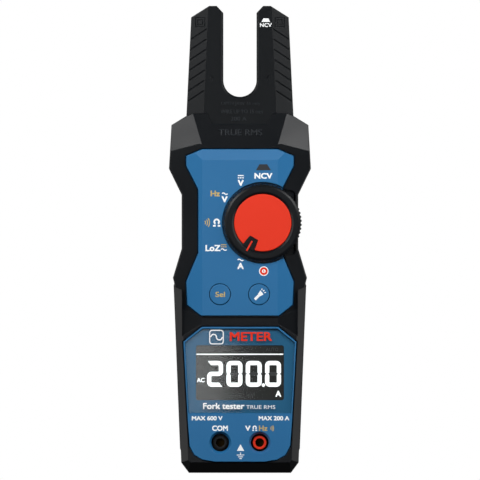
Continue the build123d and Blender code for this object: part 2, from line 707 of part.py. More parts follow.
pointer_tongue = tongue(CAP_SEAT, 20.55)
tongue_space = tongue(CAP_SEAT, 30.0, grow=0.12)


def pointer_bar(back, front):
    with BuildPart() as bar:
        with BuildSketch(dial_plane(back, POINTER_ANGLE)):
            with Locations((12.9, 0.0)):
                Rectangle(5.4, 0.8)
        extrude(amount=front - back)
    return bar.part


mark_groove = pointer_bar(20.1, 30.0)
mark_bar = pointer_bar(20.1, 20.7)

with BuildPart() as dial_ring:
    with BuildSketch(Plane.XY):
        with BuildLine():
            Polyline(
                (0.0, 17.4), (16.6, 17.4), (16.6, RING_BACK), (18.3, RING_BACK), (DIAL_R, 15.5),
                (DIAL_R, RING_SHOULDER), (18.2, 20.2), (17.2, 20.6), (14.9, 20.6), (14.0, 20.0),
                (14.0, CAP_SEAT), (0.0, CAP_SEAT), close=True)
        make_face()
    revolve(axis=Axis.Y)
    add(disc(0.0, 0.0, SHAFT_R, -17.4, -11.8))
    with BuildSketch(Plane.XZ.offset(-11.0)):
        Circle(2.6)
    extrude(amount=-5.0, mode=Mode.SUBTRACT)
    with BuildSketch(Plane.XZ.offset(-RING_BACK + 1.0)):
        with PolarLocations(DIAL_R + 0.12, RIDGES):
            Circle(0.62)
    extrude(amount=-8.0, mode=Mode.SUBTRACT)
ring_placed = Pos(DIAL_X, 0.0, DIAL_Z) * Rot(0, 0, 180) * dial_ring.part

with BuildPart() as dial_ring:
    add(ring_placed)
    add(pointer_tongue)
    add(mark_groove, mode=Mode.SUBTRACT)
save(dial_ring.part, "dial_ring")

with BuildPart() as dial_cap:
    add(disc(DIAL_X, DIAL_Z, DIAL_CAP_R, CAP_SEAT, 20.25))
    rim = dial_cap.edges().sort_by(Axis.Y)[0]
    fillet(rim, 0.4)
    add(tongue_space, mode=Mode.SUBTRACT)
save(dial_cap.part, "dial_cap")

with BuildPart() as pointer_mark:
    add(mark_bar)
save(pointer_mark.part, "pointer_mark")

DETENT_R = 9.4
with BuildPart() as dial_rotor:
    add(disc(DIAL_X, DIAL_Z, ROTOR_R, ROTOR_BACK, ROTOR_FRONT))
    add(disc(DIAL_X, DIAL_Z, 6.2, ROTOR_FRONT, 11.8))
    add(disc(DIAL_X, DIAL_Z, 2.6, 11.8, 15.5))
    add(disc(DIAL_X, DIAL_Z, 1.0, 9.0, 14.5), mode=Mode.SUBTRACT)
    with BuildSketch(dial_plane(ROTOR_FRONT - 0.3)):
        with PolarLocations(DETENT_R, 12):
            SlotOverall(3.2, 1.4)
    extrude(amount=1.0, mode=Mode.SUBTRACT)
save(dial_rotor.part, "dial_rotor")

with BuildPart() as dial_screw:
    add(disc(DIAL_X, DIAL_Z, 2.2, 8.5, ROTOR_BACK))
    add(disc(DIAL_X, DIAL_Z, 1.0, ROTOR_BACK, 14.0))
    add(block(DIAL_X - 2.5, DIAL_X + 2.5, 8.0, 9.0, DIAL_Z - 0.3, DIAL_Z + 0.3), mode=Mode.SUBTRACT)
save(dial_screw.part, "dial_screw")

with BuildPart() as rotor_contacts:
    for start in (0.0, 120.0, 240.0):
        with BuildSketch(dial_plane(8.3, start)):
            with Locations((8.0, 0.0)):
                Rectangle(5.6, 1.6)
        extrude(amount=0.3)
        with BuildSketch(dial_plane(8.6, start)):
            with Locations((10.2, 0.0)):
                Rectangle(1.2, 1.6)
        extrude(amount=1.0)
save(rotor_contacts.part, "rotor_contacts")

LEAF_Z = (DIAL_Z - 7.0, DIAL_Z + 7.0)
with BuildPart() as detent_leaf:
    with BuildSketch(Plane.YZ.offset(DIAL_X - DETENT_R - 1.2)):
        with BuildLine():
            Polyline(
                (-12.1, LEAF_Z[0]), (-12.1, LEAF_Z[0] + 3.0), (-11.8, DIAL_Z - 1.2), (-11.55, DIAL_Z),
                (-11.8, DIAL_Z + 1.2), (-12.1, LEAF_Z[1] - 3.0), (-12.1, LEAF_Z[1]), (-11.85, LEAF_Z[1]),
                (-11.85, LEAF_Z[1] - 3.1), (-11.62, DIAL_Z + 0.9), (-11.43, DIAL_Z), (-11.62, DIAL_Z - 0.9),
                (-11.85, LEAF_Z[0] + 3.1), (-11.85, LEAF_Z[0]), close=True)
        make_face()
    extrude(amount=2.4)
save(detent_leaf.part, "detent_leaf")

# ---- buttons and their switches -----------------------------------------------------------

BUTTON_TRAVEL = 0.8
DOME_TOP = 9.0
for name, (x, z) in BUTTONS.items():
    with BuildPart() as button:
        add(disc(x, z, BUTTON_R, 13.6, PANEL_DEPTH + 0.15))
        top = button.edges().sort_by(Axis.Y)[0]
        fillet(top, 0.4)
        add(disc(x, z, 6.5, 13.6, PANEL_DEPTH - WALL - 0.1))
        add(disc(x, z, 1.6, DOME_TOP + BUTTON_TRAVEL + 0.1, 13.6))
    save(button.part, name)

with BuildPart() as button_switches:
    for x, z in BUTTONS.values():
        add(block(x - 2.6, x + 2.6, BOARD_FRONT, 8.7, z - 2.6, z + 2.6))
        add(disc(x, z, 1.7, 8.7, DOME_TOP))
save(button_switches.part, "button_switches")

# ---- display ------------------------------------------------------------------------------

with BuildPart() as display_window:
    add(prism(WINDOW, WINDOW_BACK, WINDOW_FRONT))
save(display_window.part, "display_window")

LCD_FRONT, LCD_BACK, LIGHT_BACK = 14.6, 12.0, 10.2
with BuildPart() as window_gasket:
    add(block(-LCD_HALF, LCD_HALF, LCD_FRONT, WINDOW_BACK, LCD_LOW, LCD_HIGH))
    add(block(-21.3, 21.3, 10.0, 20.0, 35.0, 61.5), mode=Mode.SUBTRACT)
save(window_gasket.part, "window_gasket")

with BuildPart() as lcd_glass:
    add(block(-LCD_HALF, LCD_HALF, LCD_BACK, LCD_FRONT, LCD_LOW, LCD_HIGH))
save(lcd_glass.part, "lcd_glass")

with BuildPart() as backlight_plate:
    add(block(-LCD_HALF, LCD_HALF, LIGHT_BACK, LCD_BACK, LCD_LOW + 2.5, LCD_HIGH - 2.5))
save(backlight_plate.part, "backlight_plate")

with BuildPart() as zebra_strips:
    for low in (LCD_LOW, LCD_HIGH - 2.0):
        add(block(-19.0, 19.0, BOARD_FRONT, LCD_BACK, low, low + 2.0))
save(zebra_strips.part, "zebra_strips")

with BuildPart() as lcd_frame:
    add(block(-23.6, 23.6, BOARD_FRONT, 12.4, 32.8, 63.8))
    add(block(-LCD_HALF, LCD_HALF, 5.0, 20.0, LCD_LOW, LCD_HIGH), mode=Mode.SUBTRACT)
save(lcd_frame.part, "lcd_frame")

# ---- main board ---------------------------------------------------------------------------

BOARD_LOW, BOARD_HIGH = 22.6, 157.0
board_blank = prism(HOUSING, BOARD_BACK, BOARD_FRONT, grow=-5.0)
board_limit = block(-40.0, 40.0, 0.0, 20.0, BOARD_LOW, BOARD_HIGH)
with BuildPart() as main_board:
    add(board_blank)
    add(board_limit, mode=Mode.INTERSECT)
    for x, z in CASE_SCREWS:
        add(disc(x, z, FRONT_BOSS_R + 0.6, 0.0, 20.0), mode=Mode.SUBTRACT)
    for x, z in BOARD_SCREWS:
        add(disc(x, z, 1.0, 0.0, 20.0), mode=Mode.SUBTRACT)
save(main_board.part, "main_board")

with BuildPart() as measuring_chip:
    add(block(-19.5, -9.5, BOARD_FRONT, 9.6, 109.0, 119.0))
save(measuring_chip.part, "measuring_chip")

with BuildPart() as control_chip:
    add(block(-17.0, -8.0, BOARD_FRONT, 9.5, 126.0, 135.0))
    add(block(-5.5, -3.5, BOARD_FRONT, 9.4, 140.5, 146.0))
save(control_chip.part, "control_chip")

with BuildPart() as surge_discs:
    for x in (-8.0, 8.0):
        add(disc(x, 90.0, 4.5, BOARD_BACK - 3.8, BOARD_BACK - 0.6))
        add(block(x - 2.8, x + 2.8, BOARD_BACK - 0.6, BOARD_BACK, 89.0, 91.0))
save(surge_discs.part, "surge_discs")

with BuildPart() as input_resistors:
    for index in range(4):
        add(block(13.0, 19.0, BOARD_BACK - 1.2, BOARD_BACK, 100.0 + index * 4.0, 102.4 + index * 4.0))
save(input_resistors.part, "input_resistors")

with BuildPart() as buzzer:
    add(disc(-8.0, 110.0, 6.5, BOARD_BACK - 3.4, BOARD_BACK))
    add(disc(-8.0, 110.0, 1.0, BOARD_BACK - 4.0, BOARD_BACK - 2.4), mode=Mode.SUBTRACT)
save(buzzer.part, "buzzer")

# ---- sockets for the test leads -----------------------------------------------------------

CARRIER_BACK = -8.5
CARRIER_FRONT = PANEL_DEPTH - 0.2 - WALL
SLEEVE_FRONT = 14.0
WELL_BOTTOM = -4.5
jack_xs = {"com": -JACK_PITCH / 2, "volt": JACK_PITCH / 2}
with BuildPart() as jack_carrier:
    add(block(-15.3, 15.3, CARRIER_BACK, CARRIER_FRONT, 8.4, 20.9))
    for x in jack_xs.values():
        add(disc(x, JACK_Z, 4.3, WELL_BOTTOM, 30.0), mode=Mode.SUBTRACT)
        add(disc(x, JACK_Z, 2.7, -30.0, 30.0), mode=Mode.SUBTRACT)
save(jack_carrier.part, "jack_carrier")

for name, x in (("jack_sleeve_black", jack_xs["com"]), ("jack_sleeve_red", jack_xs["volt"])):
    with BuildPart() as sleeve:
        add(disc(x, JACK_Z, 3.25, WELL_BOTTOM, SLEEVE_FRONT))
        add(disc(x, JACK_Z, 2.1, WELL_BOTTOM - 1.0, 30.0), mode=Mode.SUBTRACT)
        add(disc(x, JACK_Z, 2.7, WELL_BOTTOM - 1.0, 10.0), mode=Mode.SUBTRACT)
    save(sleeve.part, name)

for name, x in (("jack_contact_com", jack_xs["com"]), ("jack_contact_volt", jack_xs["volt"])):
    with BuildPart() as contact:
        add(disc(x, JACK_Z, 2.7, CARRIER_BACK, 10.0))
        add(disc(x, JACK_Z, 2.05, CARRIER_BACK + 1.5, 30.0), mode=Mode.SUBTRACT)
    save(contact.part, name)

with BuildPart() as jack_straps:
    for x in jack_xs.values():
        add(block(x - 2.0, x + 2.0, CARRIER_BACK - 0.5, CARRIER_BACK, 12.6, 21.4))
        add(block(x - 2.0, x + 2.0, CARRIER_BACK - 0.5, BOARD_BACK - 2.5, 20.9, 21.4))
        add(block(x - 2.0, x + 2.0, BOARD_BACK - 3.0, BOARD_BACK - 2.5, 21.4, 25.0))
        add(block(x - 2.0, x + 2.0, BOARD_BACK - 3.0, BOARD_BACK, 24.5, 25.0))
save(jack_straps.part, "jack_straps")

# ---- batteries ----------------------------------------------------------------------------

TRAY_FLOOR = 1.8
with BuildPart() as battery_tray:
    add(block(-TRAY_HALF, TRAY_HALF, -DOOR_FLOOR, TRAY_FLOOR, TRAY_LOW, TRAY_HIGH))
    add(block(-TRAY_HALF + TRAY_WALL, TRAY_HALF - TRAY_WALL, -20.0, TRAY_FLOOR - 1.4,
              TRAY_LOW + TRAY_WALL, TRAY_HIGH - TRAY_WALL), mode=Mode.SUBTRACT)
save(battery_tray.part, "battery_tray")

CELL_LOW = TRAY_LOW + TRAY_WALL + 1.6
with BuildPart() as battery_cells:
    for x, base in ((-CELL_X, CELL_LOW), (CELL_X, CELL_LOW + 0.4)):
        with BuildSketch(Plane.XY.offset(base)):
            with Locations((x, CELL_Y)):
                Circle(CELL_R - 0.25)
        extrude(amount=CELL_LENGTH - 1.4)
        with BuildSketch(Plane.XY.offset(base + CELL_LENGTH - 1.4)):
            with Locations((x, CELL_Y)):
                Circle(2.7)
        extrude(amount=1.4)
save(battery_cells.part, "battery_cells")

with BuildPart() as battery_contacts:
    for x in (-CELL_X, CELL_X):
        add(block(x - 5.0, x + 5.0, -12.0, -3.5, TRAY_HIGH - TRAY_WALL - 0.5, TRAY_HIGH - TRAY_WALL))
    add(block(-13.0, 13.0, -12.0, -3.5, TRAY_LOW + TRAY_WALL, TRAY_LOW + TRAY_WALL + 0.5))
    for x in (-CELL_X, CELL_X):
        with BuildSketch(Plane.XY.offset(TRAY_LOW + TRAY_WALL + 0.5)):
            with Locations((x, CELL_Y)):
                Circle(3.2)
        extrude(amount=0.7, taper=20.0)
save(battery_contacts.part, "battery_contacts")

# ---- current sensor inside the fork -------------------------------------------------------

LEG_X = 14.4
with BuildPart() as sensor_core:
    for side in (-1, 1):
        add(block(side * LEG_X - 2.0, side * LEG_X + 2.0, -2.2, 2.2, 168.0, 214.0))
    add(block(-LEG_X, LEG_X, -2.2, 2.2, 168.0, 172.0))
save(sensor_core.part, "sensor_core")

BOBBIN_LOW, BOBBIN_HIGH = 186.0, 206.0


def leg_frame(width, half_depth, low, high):
    """A square ring round each leg of the core."""
    with BuildPart() as ring:
        for side in (-1, 1):
            add(block(side * LEG_X - width, side * LEG_X + width, -half_depth, half_depth, low, high))
            add(block(side * LEG_X - 2.0, side * LEG_X + 2.0, -2.2, 2.2, low - 1.0, high + 1.0),
                mode=Mode.SUBTRACT)
    return ring.part


bobbin_tube = leg_frame(2.7, 2.9, BOBBIN_LOW, BOBBIN_HIGH)
bobbin_flanges = [leg_frame(3.9, 4.6, z, z + 0.9) for z in (BOBBIN_LOW, BOBBIN_HIGH - 0.9)]
with BuildPart() as coil_bobbins:
    add(bobbin_tube)
    for flange in bobbin_flanges:
        add(flange)
save(coil_bobbins.part, "coil_bobbins")

winding_blank = leg_frame(3.7, 4.3, BOBBIN_LOW + 0.9, BOBBIN_HIGH - 0.9)
with BuildPart() as coil_windings:
    add(winding_blank)
    add(coil_bobbins.part, mode=Mode.SUBTRACT)
save(coil_windings.part, "coil_windings")

with BuildPart() as sensor_board:
    add(block(-10.0, 10.0, -1.0, 0.6, 161.6, 167.4))
save(sensor_board.part, "sensor_board")

with BuildPart() as sensor_ribbon:
    with BuildSketch(Plane.YZ.offset(-4.0)):
        with BuildLine():
            Polyline(
                (-0.95, 165.0), (-0.95, 160.0), (-BOARD_BACK, 154.55), (-BOARD_BACK, 148.0),
                (-BOARD_BACK + 0.35, 148.0), (-BOARD_BACK + 0.35, 154.4), (-0.6, 159.85), (-0.6, 165.0),
                close=True)
        make_face()
    extrude(amount=8.0)
save(sensor_ribbon.part, "sensor_ribbon")

with BuildPart() as ncv_antenna:
    add(block(11.6, 17.6, 2.6, 3.2, 215.0, 219.5))
    add(block(11.6, 12.2, 0.6, 2.6, 215.0, 219.5))
save(ncv_antenna.part, "ncv_antenna")

with BuildPart() as torch_led:
    with BuildSketch(Plane.XY.offset(174.6)):
        Circle(1.9)
    extrude(amount=3.0)
    with BuildSketch(Plane.XY.offset(173.0)):
        Rectangle(5.0, 5.0)
    extrude(amount=1.6)
save(torch_led.part, "torch_led")

with BuildPart() as torch_lens:
    with BuildSketch(Plane.XY.offset(178.0)):
        Circle(2.5)
    extrude(amount=3.1)
save(torch_lens.part, "torch_lens")
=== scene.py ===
"""Looks of the open-jaw clamp meter, built as Blender operators round its fixed CAD frame."""

import json
import math

import bmesh
import bpy
from bpy.props import FloatProperty, FloatVectorProperty, PointerProperty
from mathutils import Matrix, Vector
from mathutils.bvhtree import BVHTree


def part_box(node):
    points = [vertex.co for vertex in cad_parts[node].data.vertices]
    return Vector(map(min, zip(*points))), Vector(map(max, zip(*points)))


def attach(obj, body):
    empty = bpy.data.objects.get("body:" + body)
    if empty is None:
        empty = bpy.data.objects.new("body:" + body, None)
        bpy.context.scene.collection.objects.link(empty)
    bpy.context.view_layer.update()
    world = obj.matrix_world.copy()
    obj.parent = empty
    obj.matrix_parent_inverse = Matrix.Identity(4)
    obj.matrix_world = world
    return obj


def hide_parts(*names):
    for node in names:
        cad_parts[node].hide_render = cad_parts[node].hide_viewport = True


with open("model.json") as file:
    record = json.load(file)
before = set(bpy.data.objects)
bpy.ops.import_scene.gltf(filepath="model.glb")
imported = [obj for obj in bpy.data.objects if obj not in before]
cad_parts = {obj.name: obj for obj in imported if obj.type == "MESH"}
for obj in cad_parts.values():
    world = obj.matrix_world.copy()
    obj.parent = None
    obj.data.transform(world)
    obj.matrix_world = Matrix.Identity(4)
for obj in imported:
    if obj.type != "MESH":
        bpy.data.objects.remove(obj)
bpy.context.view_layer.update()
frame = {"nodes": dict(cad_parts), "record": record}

bl_info = {
    "name": "Fork meter looks",
    "version": (1, 0, 0),
    "blender": (4, 5, 0),
    "location": "View3D > Sidebar > Fork meter",
    "description": "Finishes, printing, display and studio for a hand-held fork meter",
    "category": "Object",
}

MM = 0.001
NODE_BODY = {node: body for body, group in frame["record"]["behaviour"]["bodies"].items() for node in group}

LENS_FRONT = -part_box("display_window")[0].y / MM
LENS_BACK = -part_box("display_window")[1].y / MM
DIAL_CENTRE = (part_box("dial_cap")[0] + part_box("dial_cap")[1]) / 2 / MM
# the thumb well's black, set by these three values, is painted shade
WELL_SIDE = 20.9                          # the thumb well starts here beside the dial
WELL_REACH = 16.4                         # and reaches this far up and down from its centre
WELL_BACK = 1.0                           # and lies in front of this depth
CELL_BAND = 62.0                          # the cells' copper band starts at this height
OPENING_WIDTH, OPENING_HEIGHT = 42.4, 26.5    # the clear opening in the lens printing
OPENING_MIDDLE = 48.25                    # the height of its middle
OPENING_CORNER = 1.1
EMBLEM_X, EMBLEM_Z = -11.3, 65.4          # middle of the emblem, a wave in a rounded square
EMBLEM_HALF = 3.5
EMBLEM_WAVE = 1.35                        # radius of the wave's two arcs
PRINT_MARGIN = 0.12                       # the printing stops this far inside the edge of the lens
BACK_PRINT = 0.03                         # thickness of the printing behind the lens
PRINT_GAP = 0.05                          # and its distance from the lens


def linear(code):
    """An sRGB hex value as the linear colour that shaders take."""
    channels = [int(code[i:i + 2], 16) / 255 for i in (1, 3, 5)]
    return tuple(c / 12.92 if c <= 0.04045 else ((c + 0.055) / 1.055) ** 2.4 for c in channels) + (1.0,)


# ---- sizes and colours a user would change ------------------------------------------------


class MeterSizes(bpy.types.PropertyGroup):
    ink_thickness: FloatProperty(
        name="Ink thickness", description="How far the printing stands on the plastic",
        default=0.03 * MM, min=0.01 * MM, max=0.2 * MM, unit="LENGTH", precision=5)
    raised_height: FloatProperty(
        name="Raised letters", description="How far the moulded letters stand on the fork and the back",
        default=0.35 * MM, min=0.1 * MM, max=0.5 * MM, unit="LENGTH", precision=5)
    edge_radius: FloatProperty(
        name="Edge radius", description="Rounding that the moulds leave on every outer edge",
        default=0.35 * MM, min=0.05 * MM, max=1.0 * MM, unit="LENGTH", precision=5)
    lens_edge: FloatProperty(
        name="Lens edge", description="Rounding of the display lens rim",
        default=0.3 * MM, min=0.05 * MM, max=0.6 * MM, unit="LENGTH", precision=5)


def colour_property(name, description, code):
    """A colour a user can pick, which starts at an sRGB hex value."""
    return FloatVectorProperty(
        name=name, description=description, subtype="COLOR", size=4, min=0.0, max=1.0, default=linear(code))


class MeterColours(bpy.types.PropertyGroup):
    shell: colour_property("Shell", "Blue hard plastic of the covers", "#296fa2")
    shell_shade: colour_property("Shell shade", "Darker blue that the shell drifts to", "#25689a")
    lens_mask: colour_property("Lens mask", "Blue printing behind the lens", "#20638a")
    soft_skin: colour_property("Soft skin", "Black overmoulded elastomer", "#0e1115")
    fork: colour_property("Fork", "Black hard plastic of the fork", "#101316")
    red: colour_property("Red", "Dial cap and socket ring", "#e93316")
    white_ink: colour_property("White ink", "Printing", "#f4f6f7")
    gold_ink: colour_property("Gold ink", "Printing of the second functions", "#c9b070")
    display: colour_property("Display", "Dark ground of the display", "#2e2e2d")


class StudioSettings(bpy.types.PropertyGroup):
    frame_height: FloatProperty(
        name="Frame height", description="Height of the view at the meter",
        default=0.2313, min=0.05, max=2.0, unit="LENGTH")
    side_power: FloatProperty(
        name="Side lights", description="Power of each long light beside the meter", default=1.9, min=0.0, max=200.0)
    rim_power: FloatProperty(
        name="Rim lights", description="Power of the two lights behind, which shine along the flanks",
        default=0.52, min=0.0, max=200.0)
    high_power: FloatProperty(
        name="High lights", description="Power of the two small lights above, which shine on the shoulders",
        default=1.08, min=0.0, max=200.0)
    front_power: FloatProperty(
        name="Front fill", description="Power of the fill in front, which gives no shine",
        default=3.1, min=0.0, max=200.0)
    back_power: FloatProperty(
        name="Back fill", description="Power of the fill behind, which gives no shine",
        default=3.9, min=0.0, max=200.0)


def sizes():
    return bpy.context.scene.meter_sizes


def colours():
    return bpy.context.scene.meter_colours


# ---- materials ----------------------------------------------------------------------------

RAYS = 6                     # rays that look for an edge to round, or for walls close by
DRIFT_SIZE = 22.0            # a plastic's colour drifts over about this many millimetres
HANDLED_SIZE = 35.0          # and its polish, where hands hold it, over this many
PATCH_SIZE = 4.0             # a metal's duller patches
# the darkening of a colour by walls close by, set below, is painted shade
CREASE_REACH = 4.5           # walls closer than this darken a plastic
BORE_REACH = 14.0            # and a metal
METAL_EDGE = 0.12            # radius of a metal part's edges
RIM_BEND = 0.85              # a rounded edge counts in full where its normal has turned this far (cosine)
SHUT = 0.15                  # this share of open sky, or less, counts as closed in
BAND_SCALE = 0.314           # a wave texture of this scale has its bands one unit apart


def scaled(colour, factor):
    """A colour made darker or lighter."""
    return tuple(min(1.0, c * factor) for c in colour[:3]) + (1.0,)


def feed(tree, node, inputs):
    """Sets inputs of a node, each to a value or to the socket that feeds it."""
    for name, source in inputs.items():
        if isinstance(source, bpy.types.NodeSocket):
            tree.links.new(source, node.inputs[name])
        else:
            node.inputs[name].default_value = source


def add_node(tree, kind, inputs=None, **settings):
    """Adds a node with its settings and its inputs."""
    node = tree.nodes.new(kind)
    for name, value in settings.items():
        setattr(node, name, value)
    feed(tree, node, inputs or {})
    return node


def empty_material(name):
    """A material with its tree and its Principled shader."""
    material = bpy.data.materials.new(name)
    material.use_nodes = True
    tree = material.node_tree
    return material, tree, tree.nodes["Principled BSDF"]


def new_finish(name):
    """A material with its tree, its Principled shader and the object's own coordinates."""
    material, tree, shader = empty_material(name)
    return material, tree, shader, own_place(tree)


def own_place(tree):
    """The object's own coordinates."""
    return add_node(tree, "ShaderNodeTexCoord").outputs["Object"]


def noise(tree, place, size, detail, roughness=0.5):
    """Noise whose lumps lie about this many millimetres apart."""
    return add_node(tree, "ShaderNodeTexNoise", {
        "Vector": place, "Scale": 1 / (size * MM), "Detail": detail, "Roughness": roughness}).outputs["Fac"]


def bands(tree, place, pitch, direction, distortion=0.0, detail=2.0):
    """Stripes this many millimetres apart."""
    return add_node(tree, "ShaderNodeTexWave", {
        "Vector": place, "Scale": BAND_SCALE / (pitch * MM), "Distortion": distortion, "Detail": detail},
        wave_type="BANDS", bands_direction=direction).outputs["Fac"]


def spread(tree, value, low, high, start=0.0, end=1.0):
    """Takes a value from the range low to high into the range start to end."""
    return add_node(tree, "ShaderNodeMapRange", {
        "Value": value, "From Min": low, "From Max": high, "To Min": start, "To Max": end}).outputs["Result"]


def blend(tree, share, first, second):
    """The first colour with a share of the second."""
    return add_node(tree, "ShaderNodeMix", {0: share, 6: first, 7: second}, data_type="RGBA").outputs[2]


def compute(tree, operation, *values):
    """A calculation on numbers."""
    return add_node(tree, "ShaderNodeMath", dict(enumerate(values)), operation=operation).outputs["Value"]


def relief(tree, height, depth, strength=1.0, normal=None):
    """A normal bumped by up to this many millimetres."""
    inputs = {"Height": height, "Distance": depth * MM, "Strength": strength}
    if normal is not None:
        inputs["Normal"] = normal
    return add_node(tree, "ShaderNodeBump", inputs).outputs["Normal"]


def rounded_edges(tree, radius, rays=RAYS):
    """The normal of a surface whose edges are rounded to a radius in metres."""
    return add_node(tree, "ShaderNodeBevel", {"Radius": radius}, samples=rays).outputs["Normal"]


def painted_crease_shade(tree, colour, reach, free, least):
    """Painted shade: dims a colour, down to a least share, where walls stand within this many millimetres."""
    sky = add_node(tree, "ShaderNodeAmbientOcclusion", {"Distance": reach * MM}, samples=RAYS).outputs["AO"]
    light = spread(tree, sky, SHUT, free, least)
    return add_node(tree, "ShaderNodeVectorMath", {0: colour, "Scale": light}, operation="SCALE").outputs["Vector"]


def moulded(name, colour, shade, roughness, grain, grain_depth, highlight_factor, rim_gloss, hollow_shade=1.0):
    """A moulded plastic: its colour drifts over centimetres, its mould left a grain, its edges are rounded.

    The grain's size and depth are in millimetres. Rounded edges get a painted highlight, their colour made lighter
    by a factor, and where walls stand close the colour gets painted shade, down to a least share.
    """
    material, tree, shader, place = new_finish(name)
    drifting = blend(tree, noise(tree, place, DRIFT_SIZE, 2.0), colour, shade)
    rounded = rounded_edges(tree, sizes().edge_radius)
    face = add_node(tree, "ShaderNodeNewGeometry").outputs["Normal"]
    bend = add_node(tree, "ShaderNodeVectorMath", {0: rounded, 1: face}, operation="DOT_PRODUCT").outputs["Value"]
    rim = spread(tree, bend, 1.0, RIM_BEND)
    # painted highlight: the rounded edges are made lighter in colour
    rim_highlighted = blend(tree, rim, drifting, scaled(colour, highlight_factor))
    polish = spread(tree, noise(tree, place, HANDLED_SIZE, 4.0), 0.3, 0.7, roughness - 0.04, roughness + 0.05)
    # the base colour gets painted shade where walls close round it
    feed(tree, shader, {
        "Base Color": painted_crease_shade(tree, rim_highlighted, CREASE_REACH, 0.6, hollow_shade),
        "Roughness": compute(tree, "MULTIPLY_ADD", rim, -rim_gloss, polish),
        "Normal": relief(tree, noise(tree, place, grain, 3.0, 0.6), grain_depth, normal=rounded),
        "IOR": 1.53})
    return material


def abs_blue():
    # ABS, injection moulded with a fine texture: an even satin blue with no flow lines
    material = moulded("moulded_blue_abs", colours().shell, colours().shell_shade, 0.34, 0.45, 0.004, 1.25, 0.06,
                       hollow_shade=0.3)
    # painted shade: the blue thumb well beside the dial is painted with the skin's black, standing in for the shadow
    # it lies in
    tree = material.node_tree
    shader = tree.nodes["Principled BSDF"]
    axes = add_node(tree, "ShaderNodeSeparateXYZ", {"Vector": own_place(tree)}).outputs
    beside = compute(tree, "GREATER_THAN", axes["X"], WELL_SIDE * MM)
    level = compute(tree, "COMPARE", axes["Z"], DIAL_CENTRE.z * MM, WELL_REACH * MM)
    ahead = compute(tree, "LESS_THAN", axes["Y"], -WELL_BACK * MM)
    well = compute(tree, "MULTIPLY", compute(tree, "MULTIPLY", beside, level), ahead)
    blue = shader.inputs["Base Color"].links[0].from_socket
    feed(tree, shader, {"Base Color": blend(tree, well, blue, colours().soft_skin)})
    return material


def elastomer_black():
    # TPE overmoulded on the shell: deep black, soft broad sheen, edges slightly greyer as a painted highlight
    skin = colours().soft_skin
    return moulded("overmoulded_black_tpe", skin, scaled(skin, 0.8), 0.34, 0.4, 0.006, 1.5, 0.05)


def fork_black():
    # PC-ABS with a spark-eroded face: a dry black whose grain breaks up highlights
    fork = colours().fork
    return moulded("spark_eroded_black_pc_abs", fork, scaled(fork, 0.85), 0.35, 0.35, 0.008, 1.5, 0.06)


def letter_black_painted_highlight():
    # tops of the moulded letters: the same black painted a little paler, a painted highlight that makes them stand
    # out
    name = "rubbed_black_letters"
    return once(name, moulded, name, linear("#23272b"), linear("#1d2125"), 0.4, 0.35, 0.004, 1.4, 0.05)


def abs_red():
    # ABS, moulded with a satin face: saturated red, nearly even
    red = colours().red
    return moulded("satin_red_abs", red, scaled(red, 0.94), 0.45, 0.5, 0.003, 1.1, 0.05, hollow_shade=0.25)


def silicone_grey():
    # silicone rubber, compression moulded: milky grey that takes a little light in
    made = moulded("moulded_grey_silicone", linear("#8a8d90"), linear("#7d8184"), 0.55, 0.6, 0.004, 1.1, 0.0)
    made.node_tree.nodes["Principled BSDF"].inputs["Subsurface Weight"].default_value = 0.1
    return made


def acrylic_white():
    # acrylic light guide, polished, with its printed dots blurred into an even white
    made = moulded("white_acrylic_guide", linear("#dfe3e6"), linear("#d3d9de"), 0.25, 1.2, 0.004, 1.0, 0.0)
    made.node_tree.nodes["Principled BSDF"].inputs["Coat Weight"].default_value = 0.4
    return made


def epoxy_black():
    # transfer-moulded epoxy of chips, the buzzer and key switches: matt charcoal
    return moulded("moulded_black_epoxy", linear("#26282a"), linear("#202224"), 0.6, 0.3, 0.008, 1.3, 0.05)


def epoxy_blue():
    # dipped epoxy round the surge discs: glossy blue with an orange-peel skin
    return moulded("dipped_blue_epoxy", linear("#1f4aa0"), linear("#183f8c"), 0.22, 1.5, 0.02, 1.1, 0.0)


def clear_acrylic():
    # PMMA, cast and polished: clear, with a crisp reflection that only shows where something bright faces it
    material, tree, shader, place = new_finish("clear_polished_acrylic")
    normal = relief(tree, noise(tree, place, 30, 1.0), 0.004, 0.3)
    gloss = add_node(tree, "ShaderNodeBsdfGlossy", {"Roughness": 0.075, "Normal": normal}).outputs["BSDF"]
    through = add_node(tree, "ShaderNodeBsdfTransparent", {"Color": linear("#fbfdfd")}).outputs["BSDF"]
    slant = add_node(tree, "ShaderNodeLayerWeight", {"Blend": 0.5, "Normal": normal}).outputs["Facing"]
    # the share that is mirrored grows from 0.04 straight on to all of it at a grazing view
    shine = compute(tree, "MULTIPLY_ADD", compute(tree, "POWER", slant, 5.0), 0.96, 0.04)
    mix = add_node(tree, "ShaderNodeMixShader", {0: shine, 1: through, 2: gloss}).outputs["Shader"]
    feed(tree, tree.nodes["Material Output"], {"Surface": mix})
    tree.nodes.remove(shader)
    return material


def metal(name, colour, shade, roughness, line, stretch):
    """A drawn, stamped or plated metal: fine lines along one way, duller patches, and painted shade deep in a bore.
    """
    material, tree, shader, place = new_finish(name)
    turned = add_node(tree, "ShaderNodeMapping", {"Scale": stretch, "Vector": place}).outputs["Vector"]
    lines = noise(tree, turned, line, 3.0)
    patched = blend(tree, noise(tree, place, PATCH_SIZE, 3.0), colour, shade)
    feed(tree, shader, {
        "Base Color": painted_crease_shade(tree, patched, BORE_REACH, 0.75, 0.04),
        "Roughness": spread(tree, lines, 0.3, 0.7, roughness - 0.07, roughness + 0.08),
        "Normal": relief(tree, lines, 0.004, 0.6, rounded_edges(tree, METAL_EDGE * MM, rays=4)),
        "Metallic": 1.0})
    return material


